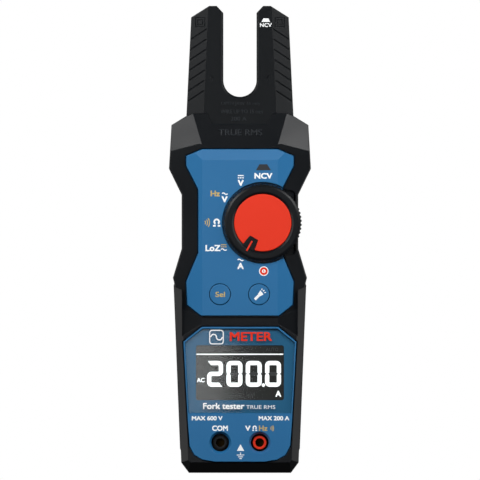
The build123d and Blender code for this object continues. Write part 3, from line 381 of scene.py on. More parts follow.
def zinc_steel():
    # steel, cold headed and zinc plated: cool grey with a soft blue cast
    return metal("zinc_plated_steel", linear("#b9bfc4"), linear("#9aa2a8"), 0.34, 0.3, (1, 1, 1))


def spring_nickel():
    # phosphor bronze, stamped and nickel plated: warmer and brighter than zinc
    return metal("nickel_plated_bronze", linear("#cfc9bd"), linear("#b8b1a4"), 0.26, 0.2, (1, 1, 6))


def turned_brass():
    # brass, turned on a lathe: fine rings and a yellow shine
    return metal("turned_brass", linear("#c9a559"), linear("#b08c44"), 0.28, 0.12, (1, 8, 1))


def laminated_steel():
    # silicon steel sheets stacked along the fork's depth, so fine lines cross the core's edges
    return metal("laminated_core_steel", linear("#8d9296"), linear("#6f7478"), 0.42, 0.35, (0.05, 1, 0.05))


def enamelled_copper():
    # copper wire under clear enamel, wound in turns 0.4 mm apart: a ribbed amber sleeve
    material, tree, shader, place = new_finish("enamelled_copper_winding")
    turns = bands(tree, place, 0.4, "Z", distortion=0.4, detail=1.0)
    feed(tree, shader, {
        "Base Color": blend(tree, turns, linear("#7a3413"), linear("#c8742f")),
        "Normal": relief(tree, turns, 0.12), "Metallic": 0.8, "Roughness": 0.3, "Coat Weight": 0.6})
    return material


def solder_mask():
    # glass-fibre board under green solder mask: copper tracks 1.2 mm apart show as paler lines
    material, tree, shader, place = new_finish("green_circuit_board")
    turned = add_node(tree, "ShaderNodeTexVoronoi", {"Scale": 1 / (7 * MM), "Vector": place},
                      feature="F1", distance="MANHATTAN").outputs["Position"]
    lanes, tracks = (bands(tree, where, 1.2, "DIAGONAL") for where in (place, turned))
    edge = spread(tree, compute(tree, "MULTIPLY", lanes, tracks), 0.35, 0.45)
    feed(tree, shader, {
        "Base Color": blend(tree, edge, linear("#0d4a2b"), linear("#1c6b41")),
        "Normal": relief(tree, edge, 0.03, 0.5), "Roughness": 0.3})
    return material


def flat_cable():
    # polyester flat cable: grey film over tinned conductors 1 mm apart
    material, tree, shader, place = new_finish("polyester_flat_cable")
    film = spread(tree, bands(tree, place, 1.0, "X"), 0.45, 0.6)
    feed(tree, shader, {"Base Color": blend(tree, film, linear("#d6dadd"), linear("#9ea3a6")), "Roughness": 0.35})
    return material


def cell_label():
    # shrink film printed in dark grey with a copper band near the top of each cell
    material, tree, shader, place = new_finish("printed_cell_film")
    height = add_node(tree, "ShaderNodeSeparateXYZ", {"Vector": place}).outputs["Z"]
    band = spread(tree, height, CELL_BAND * MM, (CELL_BAND + 0.4) * MM)
    feed(tree, shader, {
        "Base Color": blend(tree, band, linear("#2d3236"), linear("#b9793a")),
        "Roughness": spread(tree, noise(tree, place, 3, 2.0), 0.0, 1.0, 0.25, 0.38)})
    return material


def display_glass():
    # glass cell under a polariser: a neutral dark ground with a faint blotchy depth
    material, tree, shader, place = new_finish("polarised_display_glass")
    ground = colours().display
    feed(tree, shader, {
        "Base Color": blend(tree, noise(tree, place, 14, 1.0), ground, scaled(ground, 1.15)),
        "Roughness": 0.22, "Specular IOR Level": 0.03})
    return material


def screen_ink(name, colour, roughness=0.55, glow=0.0):
    """Screen-printed or foil ink: opaque, with a faint mesh in its gloss."""
    material, tree, shader, place = new_finish(name)
    mesh = noise(tree, place, 0.4, 2.0)
    feed(tree, shader, {
        "Base Color": blend(tree, mesh, scaled(colour, 0.9), colour),
        "Roughness": spread(tree, mesh, 0.0, 1.0, roughness - 0.08, roughness + 0.08)})
    if glow:
        feed(tree, shader, {"Emission Color": colour, "Emission Strength": glow})
    return material


FINISHES = {
    "blue_shell": abs_blue, "soft_black": elastomer_black, "hard_black": fork_black, "red_plastic": abs_red,
    "silicone": silicone_grey, "clear_window": clear_acrylic, "display_glass": display_glass,
    "light_guide": acrylic_white, "circuit_board": solder_mask, "chip_resin": epoxy_black,
    "blue_resin": epoxy_blue, "steel": zinc_steel, "core_steel": laminated_steel, "brass": turned_brass,
    "nickel": spring_nickel, "copper": enamelled_copper, "ribbon_film": flat_cable, "cell_jacket": cell_label,
}
made_finishes = {}


def once(key, make, *values, **settings):
    """A finish, made the first time it is asked for."""
    if key not in made_finishes:
        made_finishes[key] = make(*values, **settings)
    return made_finishes[key]


def finish_for(slot):
    """The finish of a material slot."""
    return once(slot, FINISHES[slot])


def ink(name, colour, **settings):
    """An ink."""
    return once(name, screen_ink, name, colour, **settings)


def white_ink():
    # the white ink gets a painted glow, though it is no lamp
    return ink("white_screen_ink", colours().white_ink, glow=0.12)


def gold_ink():
    return ink("gold_screen_ink", colours().gold_ink)


def red_ink():
    return ink("red_screen_ink", colours().red)


def dress(*nodes):
    """Gives CAD nodes the finishes of their slots."""
    for node in nodes:
        for slot in frame["nodes"][node].material_slots:
            slot.material = finish_for(slot.material.name.split(".")[0])
        frame["nodes"][node]["dressed"] = True


# ---- flat shapes, drawn in millimetres in the X-Z plane and facing the front ---------------

FACE_FRONT = Matrix.Rotation(math.radians(90), 4, "X")
STRIKE_STEP = 0.007                       # each strike of a bold word lies this far above the last
MERGE = 0.001                             # points closer than this are one
OUTSIDE = 60.0                            # a depth that is clear of the whole meter


def settle(shape, verts, x, z, turn=0.0):
    """Stands new flat geometry up to face the front, turned about the depth axis, at (x, z)."""
    move = Matrix.Translation((x, 0, z)) @ Matrix.Rotation(math.radians(-turn), 4, "Y") @ FACE_FRONT
    bmesh.ops.transform(shape, matrix=move, verts=verts)


def spot(shape, x, z, radius, segments=40):
    """A filled disc."""
    made = bmesh.ops.create_circle(shape, cap_ends=True, segments=segments, radius=radius)
    settle(shape, made["verts"], x, z)


def bar(shape, x, z, length, width, turn=0.0):
    """A straight stroke about its middle."""
    made = bmesh.ops.create_grid(shape, x_segments=1, y_segments=1, size=0.5,
                                 matrix=Matrix.Diagonal((length, width, 1, 1)))
    settle(shape, made["verts"], x, z, turn)


def arc(shape, x, z, radius, width, start, end, steps=24):
    """A stroke along an arc, from one angle to the other, in degrees from +X."""
    inner = shape.verts.new((radius - width / 2, 0, 0))
    outer = shape.verts.new((radius + width / 2, 0, 0))
    edge = shape.edges.new((inner, outer))
    bmesh.ops.rotate(shape, verts=[inner, outer], matrix=Matrix.Rotation(math.radians(start), 3, "Z"))
    full = abs(end - start) >= 360
    before = set(shape.verts) - {inner, outer}
    bmesh.ops.spin(shape, geom=[inner, outer, edge], axis=(0, 0, 1), cent=(0, 0, 0),
                   angle=math.radians(end - start), steps=steps, use_merge=full)
    settle(shape, [v for v in shape.verts if v not in before], x, z)


def plate(shape, corners):
    """A flat face with few corners, given as (x, z) in any order round it."""
    face = shape.faces.new([shape.verts.new((x, 0, z)) for x, z in corners])
    face.normal_update()
    if face.normal.y > 0:
        face.normal_flip()


def letters(shape, words, x, z, height, width=None, weight=0.0):
    """Sets words with their middle at (x, z), as tall as height, and as wide as width if it is given.

    Bold words are struck four times, each a little off the middle by their weight and a hair above the last.
    """
    curve = bpy.data.curves.new("words", "FONT")
    curve.body = words
    curve.size = 1.0
    curve.resolution_u = 4
    holder = bpy.data.objects.new("words", curve)
    bpy.context.scene.collection.objects.link(holder)
    bpy.context.view_layer.update()
    flat = bpy.data.meshes.new_from_object(holder.evaluated_get(bpy.context.evaluated_depsgraph_get()))
    bpy.data.objects.remove(holder)
    new = []
    for level, (across, up) in enumerate(((-1, -1), (-1, 1), (1, -1), (1, 1)) if weight else ((0, 0),)):
        known = set(shape.verts)
        shape.from_mesh(flat)
        struck = [v for v in shape.verts if v not in known]
        bmesh.ops.translate(shape, vec=(across * weight, up * weight, level * STRIKE_STEP), verts=struck)
        new += struck
    low = Vector((min(v.co.x for v in new), min(v.co.y for v in new), 0))
    high = Vector((max(v.co.x for v in new), max(v.co.y for v in new), 0))
    tall = height / (high.y - low.y)
    wide = width / (high.x - low.x) if width else tall
    centred = Matrix.Diagonal((wide, tall, 1, 1)) @ Matrix.Translation(-(low + high) / 2)
    bmesh.ops.transform(shape, matrix=centred, verts=new)
    settle(shape, new, x, z)
    bpy.data.meshes.remove(flat)


def wave(shape, x, z, width, stroke):
    """An alternating-current sign: two arcs that meet in its middle with one slope."""
    across = width / 4
    lift = across * 0.7
    meet = math.degrees(math.atan2(lift, across))
    radius = math.hypot(across, lift)
    arc(shape, x - across, z - lift, radius, stroke, meet, 180 - meet, steps=10)
    arc(shape, x + across, z + lift, radius, stroke, 180 + meet, 360 - meet, steps=10)


def direct(shape, x, z, width, stroke):
    """A direct-current sign: a line over three dashes."""
    bar(shape, x, z + stroke * 1.1, width, stroke)
    for step in (-1, 0, 1):
        bar(shape, x + step * width * 0.37, z - stroke * 1.1, width * 0.26, stroke)


def beeps(shape, x, z, height, stroke, count=3):
    """A buzzer sign: arcs that grow as they leave it."""
    for index in range(count):
        arc(shape, x - height * 0.6, z, height * (0.35 + 0.25 * index), stroke, -38, 38, steps=8)


def omega(shape, x, z, height, stroke):
    """An ohm sign: an open ring on two feet."""
    radius = height * 0.4
    centre = z + height * 0.1
    arc(shape, x, centre, radius - stroke / 2, stroke, -55, 235, steps=24)
    for side in (-1, 1):
        bar(shape, x + side * radius * 0.72, z - height / 2 + stroke / 2, radius * 0.85, stroke)


def to_metres(shape):
    """Joins the strokes of a shape drawn in millimetres, and gives it its real size."""
    bmesh.ops.remove_doubles(shape, verts=shape.verts, dist=MERGE)
    bmesh.ops.scale(shape, vec=(MM, MM, MM), verts=shape.verts)


def laid_on(shape, name, node, material, thickness, lift=0.0, behind=False):
    """Lays a flat shape, drawn in millimetres, on a CAD node's front or back, as a piece that rides with it."""
    out = 1 if behind else -1
    source = frame["nodes"][node]
    surface = BVHTree.FromPolygons([v.co for v in source.data.vertices], [p.vertices for p in source.data.polygons])
    to_metres(shape)
    if behind:
        bmesh.ops.rotate(shape, verts=shape.verts, matrix=Matrix.Rotation(math.radians(180), 3, "Z"))
    for vert in shape.verts:
        hit = surface.ray_cast(Vector((vert.co.x, out * OUTSIDE * MM, vert.co.z)), Vector((0, -out, 0)))[0]
        if hit is None:
            raise RuntimeError(f"{name} has nothing under it at {vert.co.x / MM:.1f}, {vert.co.z / MM:.1f}")
        vert.co.y += hit.y + out * (thickness + lift)
    return stand_proud(shape, name, NODE_BODY[node], material, thickness, out)


def object_from(shape, name, material):
    """Turns a shape into an object of one material."""
    mesh = bpy.data.meshes.new(name)
    shape.to_mesh(mesh)
    shape.free()
    mesh.materials.append(material)
    made = bpy.data.objects.new(name, mesh)
    bpy.context.scene.collection.objects.link(made)
    return made


def stand_proud(shape, name, body, material, thickness, out=-1):
    """Turns flat faces, which face out along the depth axis, into a thin closed piece on a body."""
    for face in shape.faces:
        face.normal_update()
        if face.normal.y * out < 0:
            face.normal_flip()
    piece = object_from(shape, name, material)
    depth = piece.modifiers.new("thickness", "SOLIDIFY")
    depth.thickness = thickness
    depth.offset = -1.0
    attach(piece, body)
    return piece


# ---- covers, fork, back ---------------------------------------------------------------------


class METER_OT_covers(bpy.types.Operator):
    """Finishes the blue covers, the black skins, the fork covers and the case seal"""
    bl_idname = "meter.covers"
    bl_label = "Covers and skins"

    def execute(self, context):
        dress("front_cover", "rear_cover", "front_bumper", "rear_bumper", "fork_front_cover", "fork_rear_cover",
              "case_seal", "case_screws", "torch_lens")
        return {"FINISHED"}


class METER_OT_fork_marks(bpy.types.Operator):
    """Adds the raised lines below the gap and the white sensing mark on the right prong"""
    bl_idname = "meter.fork_marks"
    bl_label = "Fork marks"

    def execute(self, context):
        raised = sizes().raised_height
        rows = bmesh.new()
        letters(rows, "OPEN JAW 16 mm", 0.2, 177.8, 2.0, 18.6, 0.015)
        letters(rows, "WIRE UP TO 15 mm", 0.8, 174.1, 2.0, 20.4, 0.015)
        letters(rows, "200 A", -0.6, 170.6, 2.0, 7.6, 0.015)
        laid_on(rows, "fork_raised_lines", "fork_front_cover", letter_black_painted_highlight(), raised)
        band = bmesh.new()
        letters(band, "TRUE RMS", 0.2, 164.1, 3.0, 21.0, 0.015)
        laid_on(band, "band_raised_line", "front_bumper", letter_black_painted_highlight(), raised)
        sensing = bmesh.new()
        letters(sensing, "NCV", 12.5, 215.8, 1.9, 5.7, 0.022)
        plate(sensing, [(10.4, 217.3), (14.6, 217.3), (13.7, 219.0), (11.3, 219.0)])
        laid_on(sensing, "fork_sensing_mark", "fork_front_cover", white_ink(), sizes().ink_thickness)
        return {"FINISHED"}


class METER_OT_back(bpy.types.Operator):
    """Finishes the battery door with its seal and coin screw, and adds its raised lines"""
    bl_idname = "meter.back"
    bl_label = "Battery door"

    def execute(self, context):
        dress("battery_door", "door_seal", "door_screw", "door_insert")
        rows = bmesh.new()
        letters(rows, "2 x AA", 0.0, 48.0, 5.2, 20.0)
        letters(rows, "1.5 V", 0.0, 39.5, 4.6, 14.5)
        for x in (-15.0, 15.0):
            bar(rows, x, 43.5, 4.0, 0.8)
        for z in (44.9, 42.1):
            bar(rows, -15.0, z, 1.2, 0.8, turn=90)
        laid_on(rows, "door_raised_lines", "battery_door", finish_for("blue_shell"), sizes().raised_height,
                behind=True)
        return {"FINISHED"}


# ---- dial and keys --------------------------------------------------------------------------


class METER_OT_dial(bpy.types.Operator):
    """Finishes the rotary switch: knurled ring, red cap, pointer mark, rotor and contacts"""
    bl_idname = "meter.dial"
    bl_label = "Dial"

    def execute(self, context):
        dress("dial_ring", "dial_cap", "pointer_mark", "dial_rotor", "dial_screw", "rotor_contacts")
        return {"FINISHED"}


class METER_OT_dial_print(bpy.types.Operator):
    """Prints the functions round the dial, white for the first and gold for the second"""
    bl_idname = "meter.dial_print"
    bl_label = "Dial printing"

    def execute(self, context):
        white = bmesh.new()
        letters(white, "NCV", 11.3, 143.1, 2.8, 8.6, 0.035)
        letters(white, "V", 0.4, 139.7, 3.0, 2.9, 0.04)
        direct(white, 0.4, 142.7, 2.8, 0.5)
        letters(white, "V", -7.4, 131.8, 3.0, 2.9, 0.04)
        wave(white, -7.3, 134.5, 2.6, 0.55)
        omega(white, -11.2, 120.6, 3.9, 0.85)
        letters(white, "LoZ", -13.0, 108.3, 3.0, 7.2, 0.035)
        wave(white, -7.8, 107.6, 2.7, 0.5)
        letters(white, "A", 0.3, 99.7, 3.0, 3.0, 0.035)
        wave(white, 0.3, 102.6, 2.7, 0.55)
        spot(white, 11.5, 97.2, 2.3)
        laid_on(white, "dial_print_white", "front_cover", white_ink(), sizes().ink_thickness)
        gold = bmesh.new()
        letters(gold, "Hz", -11.9, 134.6, 2.8, 4.5, 0.035)
        beeps(gold, -15.6, 120.6, 3.9, 0.45)
        direct(gold, -7.8, 109.4, 2.7, 0.45)
        laid_on(gold, "dial_print_gold", "front_cover", gold_ink(), sizes().ink_thickness)
        dark = bmesh.new()
        plate(dark, [(7.7, 145.8), (14.9, 145.8), (13.1, 148.7), (9.4, 148.7)])
        laid_on(dark, "dial_print_dark", "front_cover", ink("dark_screen_ink", linear("#33363a")),
                sizes().ink_thickness)
        off = bmesh.new()
        arc(off, 11.5, 97.2, 1.38, 1.0, 0, 360, steps=40)
        bar(off, 11.5, 97.2, 1.15, 0.42, turn=90)
        laid_on(off, "off_mark_red", "front_cover", red_ink(), sizes().ink_thickness, lift=sizes().ink_thickness)
        return {"FINISHED"}


class METER_OT_keys(bpy.types.Operator):
    """Finishes the two keys and prints their signs"""
    bl_idname = "meter.keys"
    bl_label = "Keys"

    def execute(self, context):
        dress("select_button", "torch_button")
        select = bmesh.new()
        letters(select, "Sel", -9.5, 86.0, 2.5, 4.6, 0.02)
        laid_on(select, "select_key_print", "select_button", gold_ink(), sizes().ink_thickness)
        torch = bmesh.new()
        bar(torch, 8.2, 84.6, 2.9, 1.25, turn=45)
        plate(torch, [(8.7, 86.2), (9.7, 85.1), (11.4, 86.0), (9.9, 87.9)])
        for angle, x, z in ((14, 12.15, 86.9), (45, 11.5, 87.8), (76, 10.6, 88.4)):
            bar(torch, x, z, 0.8, 0.42, turn=angle)
        laid_on(torch, "torch_key_print", "torch_button", white_ink(), sizes().ink_thickness)
        return {"FINISHED"}


# ---- lens and display -----------------------------------------------------------------------


class METER_OT_lens(bpy.types.Operator):
    """Makes the clear lens, its blue back printing with the display opening, and the name panel"""
    bl_idname = "meter.lens"
    bl_label = "Display lens"

    def execute(self, context):
        source = frame["nodes"]["display_window"]
        body = bmesh.new()
        body.from_mesh(source.data)
        bmesh.ops.remove_doubles(body, verts=body.verts, dist=0.002 * MM)
        bmesh.ops.dissolve_limit(body, angle_limit=math.radians(1), verts=body.verts, edges=body.edges)

        mask = body.copy()
        back = [f for f in mask.faces if f.normal.y > 0.9]
        bmesh.ops.delete(mask, geom=[f for f in mask.faces if f not in back], context="FACES")
        shrink = bmesh.ops.inset_region(mask, faces=mask.faces[:], thickness=PRINT_MARGIN * MM,
                                        use_even_offset=True, use_boundary=True)
        bmesh.ops.delete(mask, geom=shrink["faces"], context="FACES")
        bmesh.ops.delete(mask, geom=mask.faces[:], context="FACES_ONLY")
        low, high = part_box("window_gasket")
        middle = ((low.x + high.x) / 2, mask.verts[:][0].co.y, OPENING_MIDDLE * MM)
        opening = bmesh.ops.create_grid(mask, x_segments=1, y_segments=1, size=0.5, matrix=(
            Matrix.Translation(middle) @ FACE_FRONT
            @ Matrix.Diagonal((OPENING_WIDTH * MM, OPENING_HEIGHT * MM, 1, 1))))
        bmesh.ops.bevel(mask, geom=opening["verts"], offset=OPENING_CORNER * MM, segments=5, profile=0.5,
                        affect="VERTICES", material=-1)
        bmesh.ops.delete(mask, geom=mask.faces[:], context="FACES_ONLY")
        bmesh.ops.triangle_fill(mask, use_beauty=True, use_dissolve=False, edges=mask.edges[:])
        for vert in mask.verts:
            vert.co.y = -(LENS_BACK + PRINT_GAP) * MM
        stand_proud(mask, "lens_back_print", "housing", ink("blue_back_print", colours().lens_mask),
                    BACK_PRINT * MM)

        for face in body.faces:
            face.smooth = False
        lens = object_from(body, "display_lens", finish_for("clear_window"))
        rim = lens.modifiers.new("rim", "BEVEL")
        rim.width = sizes().lens_edge
        rim.segments = 3
        rim.limit_method = "ANGLE"
        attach(lens, "housing")
        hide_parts("display_window")
        dress("window_gasket")
        return {"FINISHED"}


def route(shape, points, radius, width):
    """A stroke along a square-cornered line, its corners turned at a radius."""
    path = [Vector(point) for point in points]
    start = path[0]
    for before, corner, after in zip(path, path[1:], path[2:]):
        into, out = (corner - before).normalized(), (after - corner).normalized()
        stop = corner - into * radius
        stroke_between(shape, start, stop, width)
        centre = stop + out * radius
        first = math.degrees(math.atan2(-out.y, -out.x))
        turn = 90 if into.cross(out) > 0 else -90
        arc(shape, centre.x, centre.y, radius, width, first, first + turn, steps=6)
        start = corner + out * radius
    stroke_between(shape, start, path[-1], width)


def stroke_between(shape, start, end, width):
    """A straight stroke from one point to another."""
    along = end - start
    middle = (start + end) / 2
    bar(shape, middle.x, middle.y, along.length, width, math.degrees(math.atan2(along.y, along.x)))


DIGIT_WIDTH, DIGIT_HEIGHT, DIGIT_STROKE = 7.7, 12.5, 2.05
DIGIT_SIDE = DIGIT_WIDTH / 2 - DIGIT_STROKE / 2       # middle of an upright bar
DIGIT_TOP = DIGIT_HEIGHT / 2 - DIGIT_STROKE / 2       # middle of the top bar
DIGIT_TURN = 1.25            # radius of the corners
DIGIT_MIDDLE = 47.7          # height of the row of digits
NOTCH = 0.55                 # the upright bars narrow over this length where they meet at mid height
SLANT = 0.9                  # the ends of the two's bars start to slant this far in


def zero(shape, x, z):
    """A lit nought: two bent halves whose ends narrow where they meet."""
    for up in (1, -1):
        low, high = z + up * NOTCH, z + up * DIGIT_TOP
        left, right = x - DIGIT_SIDE, x + DIGIT_SIDE
        route(shape, [(left, low), (left, high), (right, high), (right, low)], DIGIT_TURN, DIGIT_STROKE)
        for edge in (left, right):
            narrow_end(shape, edge, z, up)


def narrow_end(shape, x, z, up):
    """The narrowing end of an upright bar."""
    half = DIGIT_STROKE / 2
    plate(shape, [(x - half, z + up * NOTCH), (x + half, z + up * NOTCH), (x + half - 0.6, z + up * 0.03),
                  (x - half + 0.6, z + up * 0.03)])


def two(shape, x, z):
    """A lit two: one bent stroke with slanted ends."""
    side, top = DIGIT_SIDE, DIGIT_TOP
    half = DIGIT_STROKE / 2
    line = [(x - side + SLANT, z + top), (x + side, z + top), (x + side, z), (x - side, z), (x - side, z - top),
            (x + side - SLANT, z - top)]
    route(shape, line, DIGIT_TURN, DIGIT_STROKE)
    for way in (-1, 1):
        end = x + way * (side - SLANT)
        plate(shape, [(end, z - way * top - half), (end, z - way * top + half),
                      (end + way * 1.6, z - way * top - way * half)])


class METER_OT_display(bpy.types.Operator):
    """Finishes the display and lights its segments, with the unlit ones just visible"""
    bl_idname = "meter.display"
    bl_label = "Display"

    def execute(self, context):
        dress("lcd_glass", "lcd_frame", "backlight_plate", "zebra_strips")
        lit = bmesh.new()
        ghost = bmesh.new()
        bar(lit, -0.05, 57.15, 41.8, 0.55)
        two(lit, -12.0, DIGIT_MIDDLE)
        for x in (-2.65, 6.65, 15.95):
            zero(lit, x, DIGIT_MIDDLE)
            bar(ghost, x, DIGIT_MIDDLE, DIGIT_WIDTH - 2 * DIGIT_STROKE - 0.4, DIGIT_STROKE)
        spot(lit, 11.3, 42.3, 0.85, segments=20)
        letters(lit, "AC", -18.9, 44.7, 2.2, 3.7, 0.025)
        letters(lit, "A", 18.5, 38.1, 2.9, 2.8, 0.03)
        for words, x, z, height, width in (
                ("HOLD", -15.5, 59.5, 1.6, 6.0), ("MAX", -8.0, 59.5, 1.6, 4.4), ("AUTO", 15.5, 59.5, 1.6, 6.0),
                ("kHz", -1.0, 37.4, 1.9, 4.4), ("mV", 5.0, 37.4, 1.9, 3.8), ("DC", -18.7, 50.5, 1.9, 3.4)):
            letters(ghost, words, x, z, height, width, 0.01)
        glow = ink("lit_display_segment", linear("#fafafa"), roughness=0.4, glow=0.75)
        faint = ink("unlit_display_segment", linear("#363637"), roughness=0.3)
        laid_on(lit, "display_segments_lit", "lcd_glass", glow, 0.02 * MM)
        laid_on(ghost, "display_segments_unlit", "lcd_glass", faint, 0.015 * MM)
        return {"FINISHED"}


class METER_OT_name_panel(bpy.types.Operator):
    """Prints the name row and the line below the display on the lens"""
    bl_idname = "meter.name_panel"
    bl_label = "Lens printing"

    def execute(self, context):
        thin = sizes().ink_thickness
        name = bmesh.new()
        letters(name, "METER", 5.3, 65.7, 4.3, 20.4, 0.024)
        self.on_lens(name, "lens_print_red", red_ink(), thin)
        row = bmesh.new()
        letters(row, "Fork tester", -7.8, 32.2, 3.0, 20.0, 0.03)
        letters(row, "TRUE RMS", 10.0, 31.7, 1.8, 14.0)
        square = bmesh.ops.create_circle(row, cap_ends=True, segments=4, radius=EMBLEM_HALF * math.sqrt(2))
        settle(row, square["verts"], EMBLEM_X, EMBLEM_Z, turn=45)
        corners = bmesh.ops.bevel(row, geom=square["verts"], offset=1.4, segments=6, profile=0.5,
                                  affect="VERTICES", material=-1)
        rim = [f for f in row.faces if any(v in corners["verts"] for v in f.verts)]
        bmesh.ops.inset_region(row, faces=rim, thickness=0.5, use_even_offset=True, use_boundary=True)
        bmesh.ops.delete(row, geom=rim, context="FACES")
        for side, start in ((-1, 0), (1, 180)):
            arc(row, EMBLEM_X + side * EMBLEM_WAVE, EMBLEM_Z, EMBLEM_WAVE, 0.6, start, start + 180, steps=16)
        self.on_lens(row, "lens_print_white", white_ink(), thin)
        return {"FINISHED"}

    def on_lens(self, shape, name, material, thickness):
        """The front of the lens is flat, so its printing sits at one depth."""
        to_metres(shape)
        for vert in shape.verts:
            vert.co.y -= LENS_FRONT * MM + thickness
        stand_proud(shape, name, "housing", material, thickness)


# ---- sockets and the lower panel ------------------------------------------------------------


class METER_OT_sockets(bpy.types.Operator):
    """Finishes the lead sockets and prints their names, signs and limits"""
    bl_idname = "meter.sockets"
    bl_label = "Sockets"

    def execute(self, context):
        dress("jack_carrier", "jack_sleeve_black", "jack_sleeve_red", "jack_contact_com", "jack_contact_volt",
              "jack_straps")
        white = bmesh.new()
        letters(white, "MAX 600 V", -15.8, 26.3, 2.1, 14.8, 0.032)
        letters(white, "MAX 200 A", 16.4, 26.3, 2.1, 14.8, 0.032)
        letters(white, "COM", -9.6, 21.5, 2.6, 7.6, 0.035)
        letters(white, "V", 3.8, 21.5, 2.5, 2.6, 0.035)
        omega(white, 7.1, 21.5, 2.6, 0.6)
        plate(white, [(-1.5, 10.6), (2.1, 10.6), (0.3, 13.7)])
        bar(white, 0.3, 8.6, 3.6, 0.36)
        bar(white, 0.3, 9.2, 1.1, 0.36, turn=90)
        bar(white, 0.3, 7.7, 2.4, 0.36)
        bar(white, 0.3, 6.9, 1.2, 0.36)
        laid_on(white, "socket_print_white", "front_cover", white_ink(), sizes().ink_thickness)
        gold = bmesh.new()
        letters(gold, "Hz", 11.2, 21.5, 2.5, 4.1, 0.03)
        beeps(gold, 15.6, 21.5, 2.6, 0.35)
        laid_on(gold, "socket_print_gold", "front_cover", gold_ink(), sizes().ink_thickness)
        return {"FINISHED"}


class METER_OT_inside(bpy.types.Operator):
    """Finishes the boards, the sensor, the battery tray and the cells"""
    bl_idname = "meter.inside"
    bl_label = "Inside"

    def execute(self, context):
        dress("main_board", "board_screws", "measuring_chip", "control_chip", "surge_discs", "input_resistors",
              "buzzer", "button_switches", "detent_leaf", "battery_tray", "battery_cells", "battery_contacts",
              "sensor_core", "coil_bobbins", "coil_windings", "sensor_board", "sensor_ribbon", "ncv_antenna",
              "torch_led")
        return {"FINISHED"}


# ---- studio ---------------------------------------------------------------------------------


CAMERA_PLACE = (0.03 * MM, -1.5, 112.2 * MM)
AIM = (0, 0, 115 * MM)       # the lights face the middle of the meter


def glowing(name, colour, light, strength, roughness=0.5):
    """A plain material that gives light."""
    material, tree, shader = empty_material(name)
    feed(tree, shader, {"Base Color": linear(colour), "Roughness": roughness, "Emission Color": linear(light),
                        "Emission Strength": strength})
    return material


def soft_light(name, power, width, height, place):
    """A soft rectangular light that faces the meter."""
    lamp = bpy.data.lights.new(name, "AREA")
    lamp.shape = "RECTANGLE"
    lamp.size = width
    lamp.size_y = height
    lamp.energy = power
    holder = bpy.data.objects.new(name, lamp)
    bpy.context.scene.collection.objects.link(holder)
    holder.location = place
    holder.rotation_euler = (Vector(AIM) - Vector(place)).to_track_quat("-Z", "Y").to_euler()
    return holder


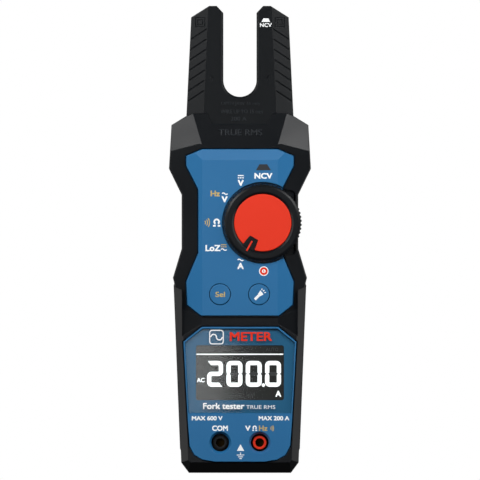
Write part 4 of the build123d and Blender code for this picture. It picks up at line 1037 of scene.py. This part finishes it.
class METER_OT_studio(bpy.types.Operator):
    """Sets the camera, the pale floor, the soft lights and the white surroundings"""
    bl_idname = "meter.studio"
    bl_label = "Studio"

    def execute(self, context):
        scene = context.scene
        studio = scene.meter_studio
        scene.view_settings.view_transform = "Standard"
        scene.view_settings.look = "None"

        lens = bpy.data.cameras.new("camera")
        lens.type = "ORTHO"
        lens.ortho_scale = studio.frame_height
        camera = bpy.data.objects.new("camera", lens)
        scene.collection.objects.link(camera)
        camera.location = CAMERA_PLACE
        camera.rotation_euler = (math.radians(90), 0, 0)
        scene.camera = camera

        ground = bmesh.new()
        bmesh.ops.create_grid(ground, x_segments=1, y_segments=1, size=3.0)
        floor = object_from(ground, "studio_floor",
                            glowing("pale_studio_floor", "#eceded", "#f6f7f7", 0.93, roughness=0.8))
        floor.visible_glossy = False
        floor.visible_diffuse = False

        for name, side in (("left", -1), ("right", 1)):
            soft_light(name + "_light", studio.side_power, 0.6, 1.0, (side * 0.80, -0.25, 0.30))
            soft_light(name + "_rim_light", studio.rim_power, 0.7, 0.9, (side * 0.62, 0.55, 0.22))
            soft_light(name + "_high_light", studio.high_power, 0.25, 0.25, (side * 0.50, -0.64, 0.53))
        for name, power, side in (("front_fill", studio.front_power, -1), ("back_fill", studio.back_power, 1)):
            soft_light(name, power, 0.5, 0.3, (0.0, side * 0.58, 0.36)).visible_glossy = False

        card = bmesh.new()
        bmesh.ops.create_grid(card, x_segments=1, y_segments=1, size=0.5,
                              matrix=Matrix.Translation((-0.075, -0.9, 0.05)) @ FACE_FRONT
                              @ Matrix.Diagonal((0.14, 0.14, 1, 1)))
        reflection = object_from(card, "window_reflection", glowing("bright_card", "#000000", "#ffffff", 2.1))
        reflection.visible_camera = False
        reflection.visible_shadow = False
        reflection.visible_diffuse = False

        world = bpy.data.worlds.new("white_surroundings")
        scene.world = world
        world.use_nodes = True
        tree = world.node_tree
        tree.nodes.clear()
        seen = add_node(tree, "ShaderNodeBackground", {"Color": (1, 1, 1, 1), "Strength": 1.0})
        ambient = add_node(tree, "ShaderNodeBackground", {"Color": (1, 1, 1, 1), "Strength": 0.03})
        ray = add_node(tree, "ShaderNodeLightPath")
        mix = add_node(tree, "ShaderNodeMixShader", {
            0: ray.outputs["Is Camera Ray"], 1: ambient.outputs["Background"], 2: seen.outputs["Background"]})
        add_node(tree, "ShaderNodeOutputWorld", {"Surface": mix.outputs["Shader"]})
        return {"FINISHED"}


# ---- panel and run --------------------------------------------------------------------------

STEPS = (METER_OT_studio, METER_OT_covers, METER_OT_fork_marks, METER_OT_back, METER_OT_dial, METER_OT_dial_print,
         METER_OT_keys, METER_OT_lens, METER_OT_display, METER_OT_name_panel, METER_OT_sockets, METER_OT_inside)


class METER_PT_looks(bpy.types.Panel):
    bl_idname = "METER_PT_looks"
    bl_label = "Fork meter"
    bl_space_type = "VIEW_3D"
    bl_region_type = "UI"
    bl_category = "Fork meter"

    def draw(self, context):
        for group in (context.scene.meter_sizes, context.scene.meter_colours, context.scene.meter_studio):
            column = self.layout.column(align=True)
            for name in group.__annotations__:
                column.prop(group, name)
        for step in STEPS:
            self.layout.operator(step.bl_idname)


GROUPS = (MeterSizes, MeterColours, StudioSettings)


def register():
    for kind in GROUPS + STEPS + (METER_PT_looks,):
        bpy.utils.register_class(kind)
    bpy.types.Scene.meter_sizes = PointerProperty(type=MeterSizes)
    bpy.types.Scene.meter_colours = PointerProperty(type=MeterColours)
    bpy.types.Scene.meter_studio = PointerProperty(type=StudioSettings)


def unregister():
    del bpy.types.Scene.meter_sizes
    del bpy.types.Scene.meter_colours
    del bpy.types.Scene.meter_studio
    for kind in reversed(GROUPS + STEPS + (METER_PT_looks,)):
        bpy.utils.unregister_class(kind)


def main():
    register()
    bpy.ops.meter.studio()
    bpy.ops.meter.covers()
    bpy.ops.meter.fork_marks()
    bpy.ops.meter.back()
    bpy.ops.meter.dial()
    bpy.ops.meter.dial_print()
    bpy.ops.meter.keys()
    bpy.ops.meter.lens()
    bpy.ops.meter.display()
    bpy.ops.meter.name_panel()
    bpy.ops.meter.sockets()
    bpy.ops.meter.inside()
    bare = [name for name, node in frame["nodes"].items() if not node.get("dressed") and not node.hide_render]
    if bare:
        raise RuntimeError(f"no finish on {bare}")


if __name__ == "__main__":
    main()
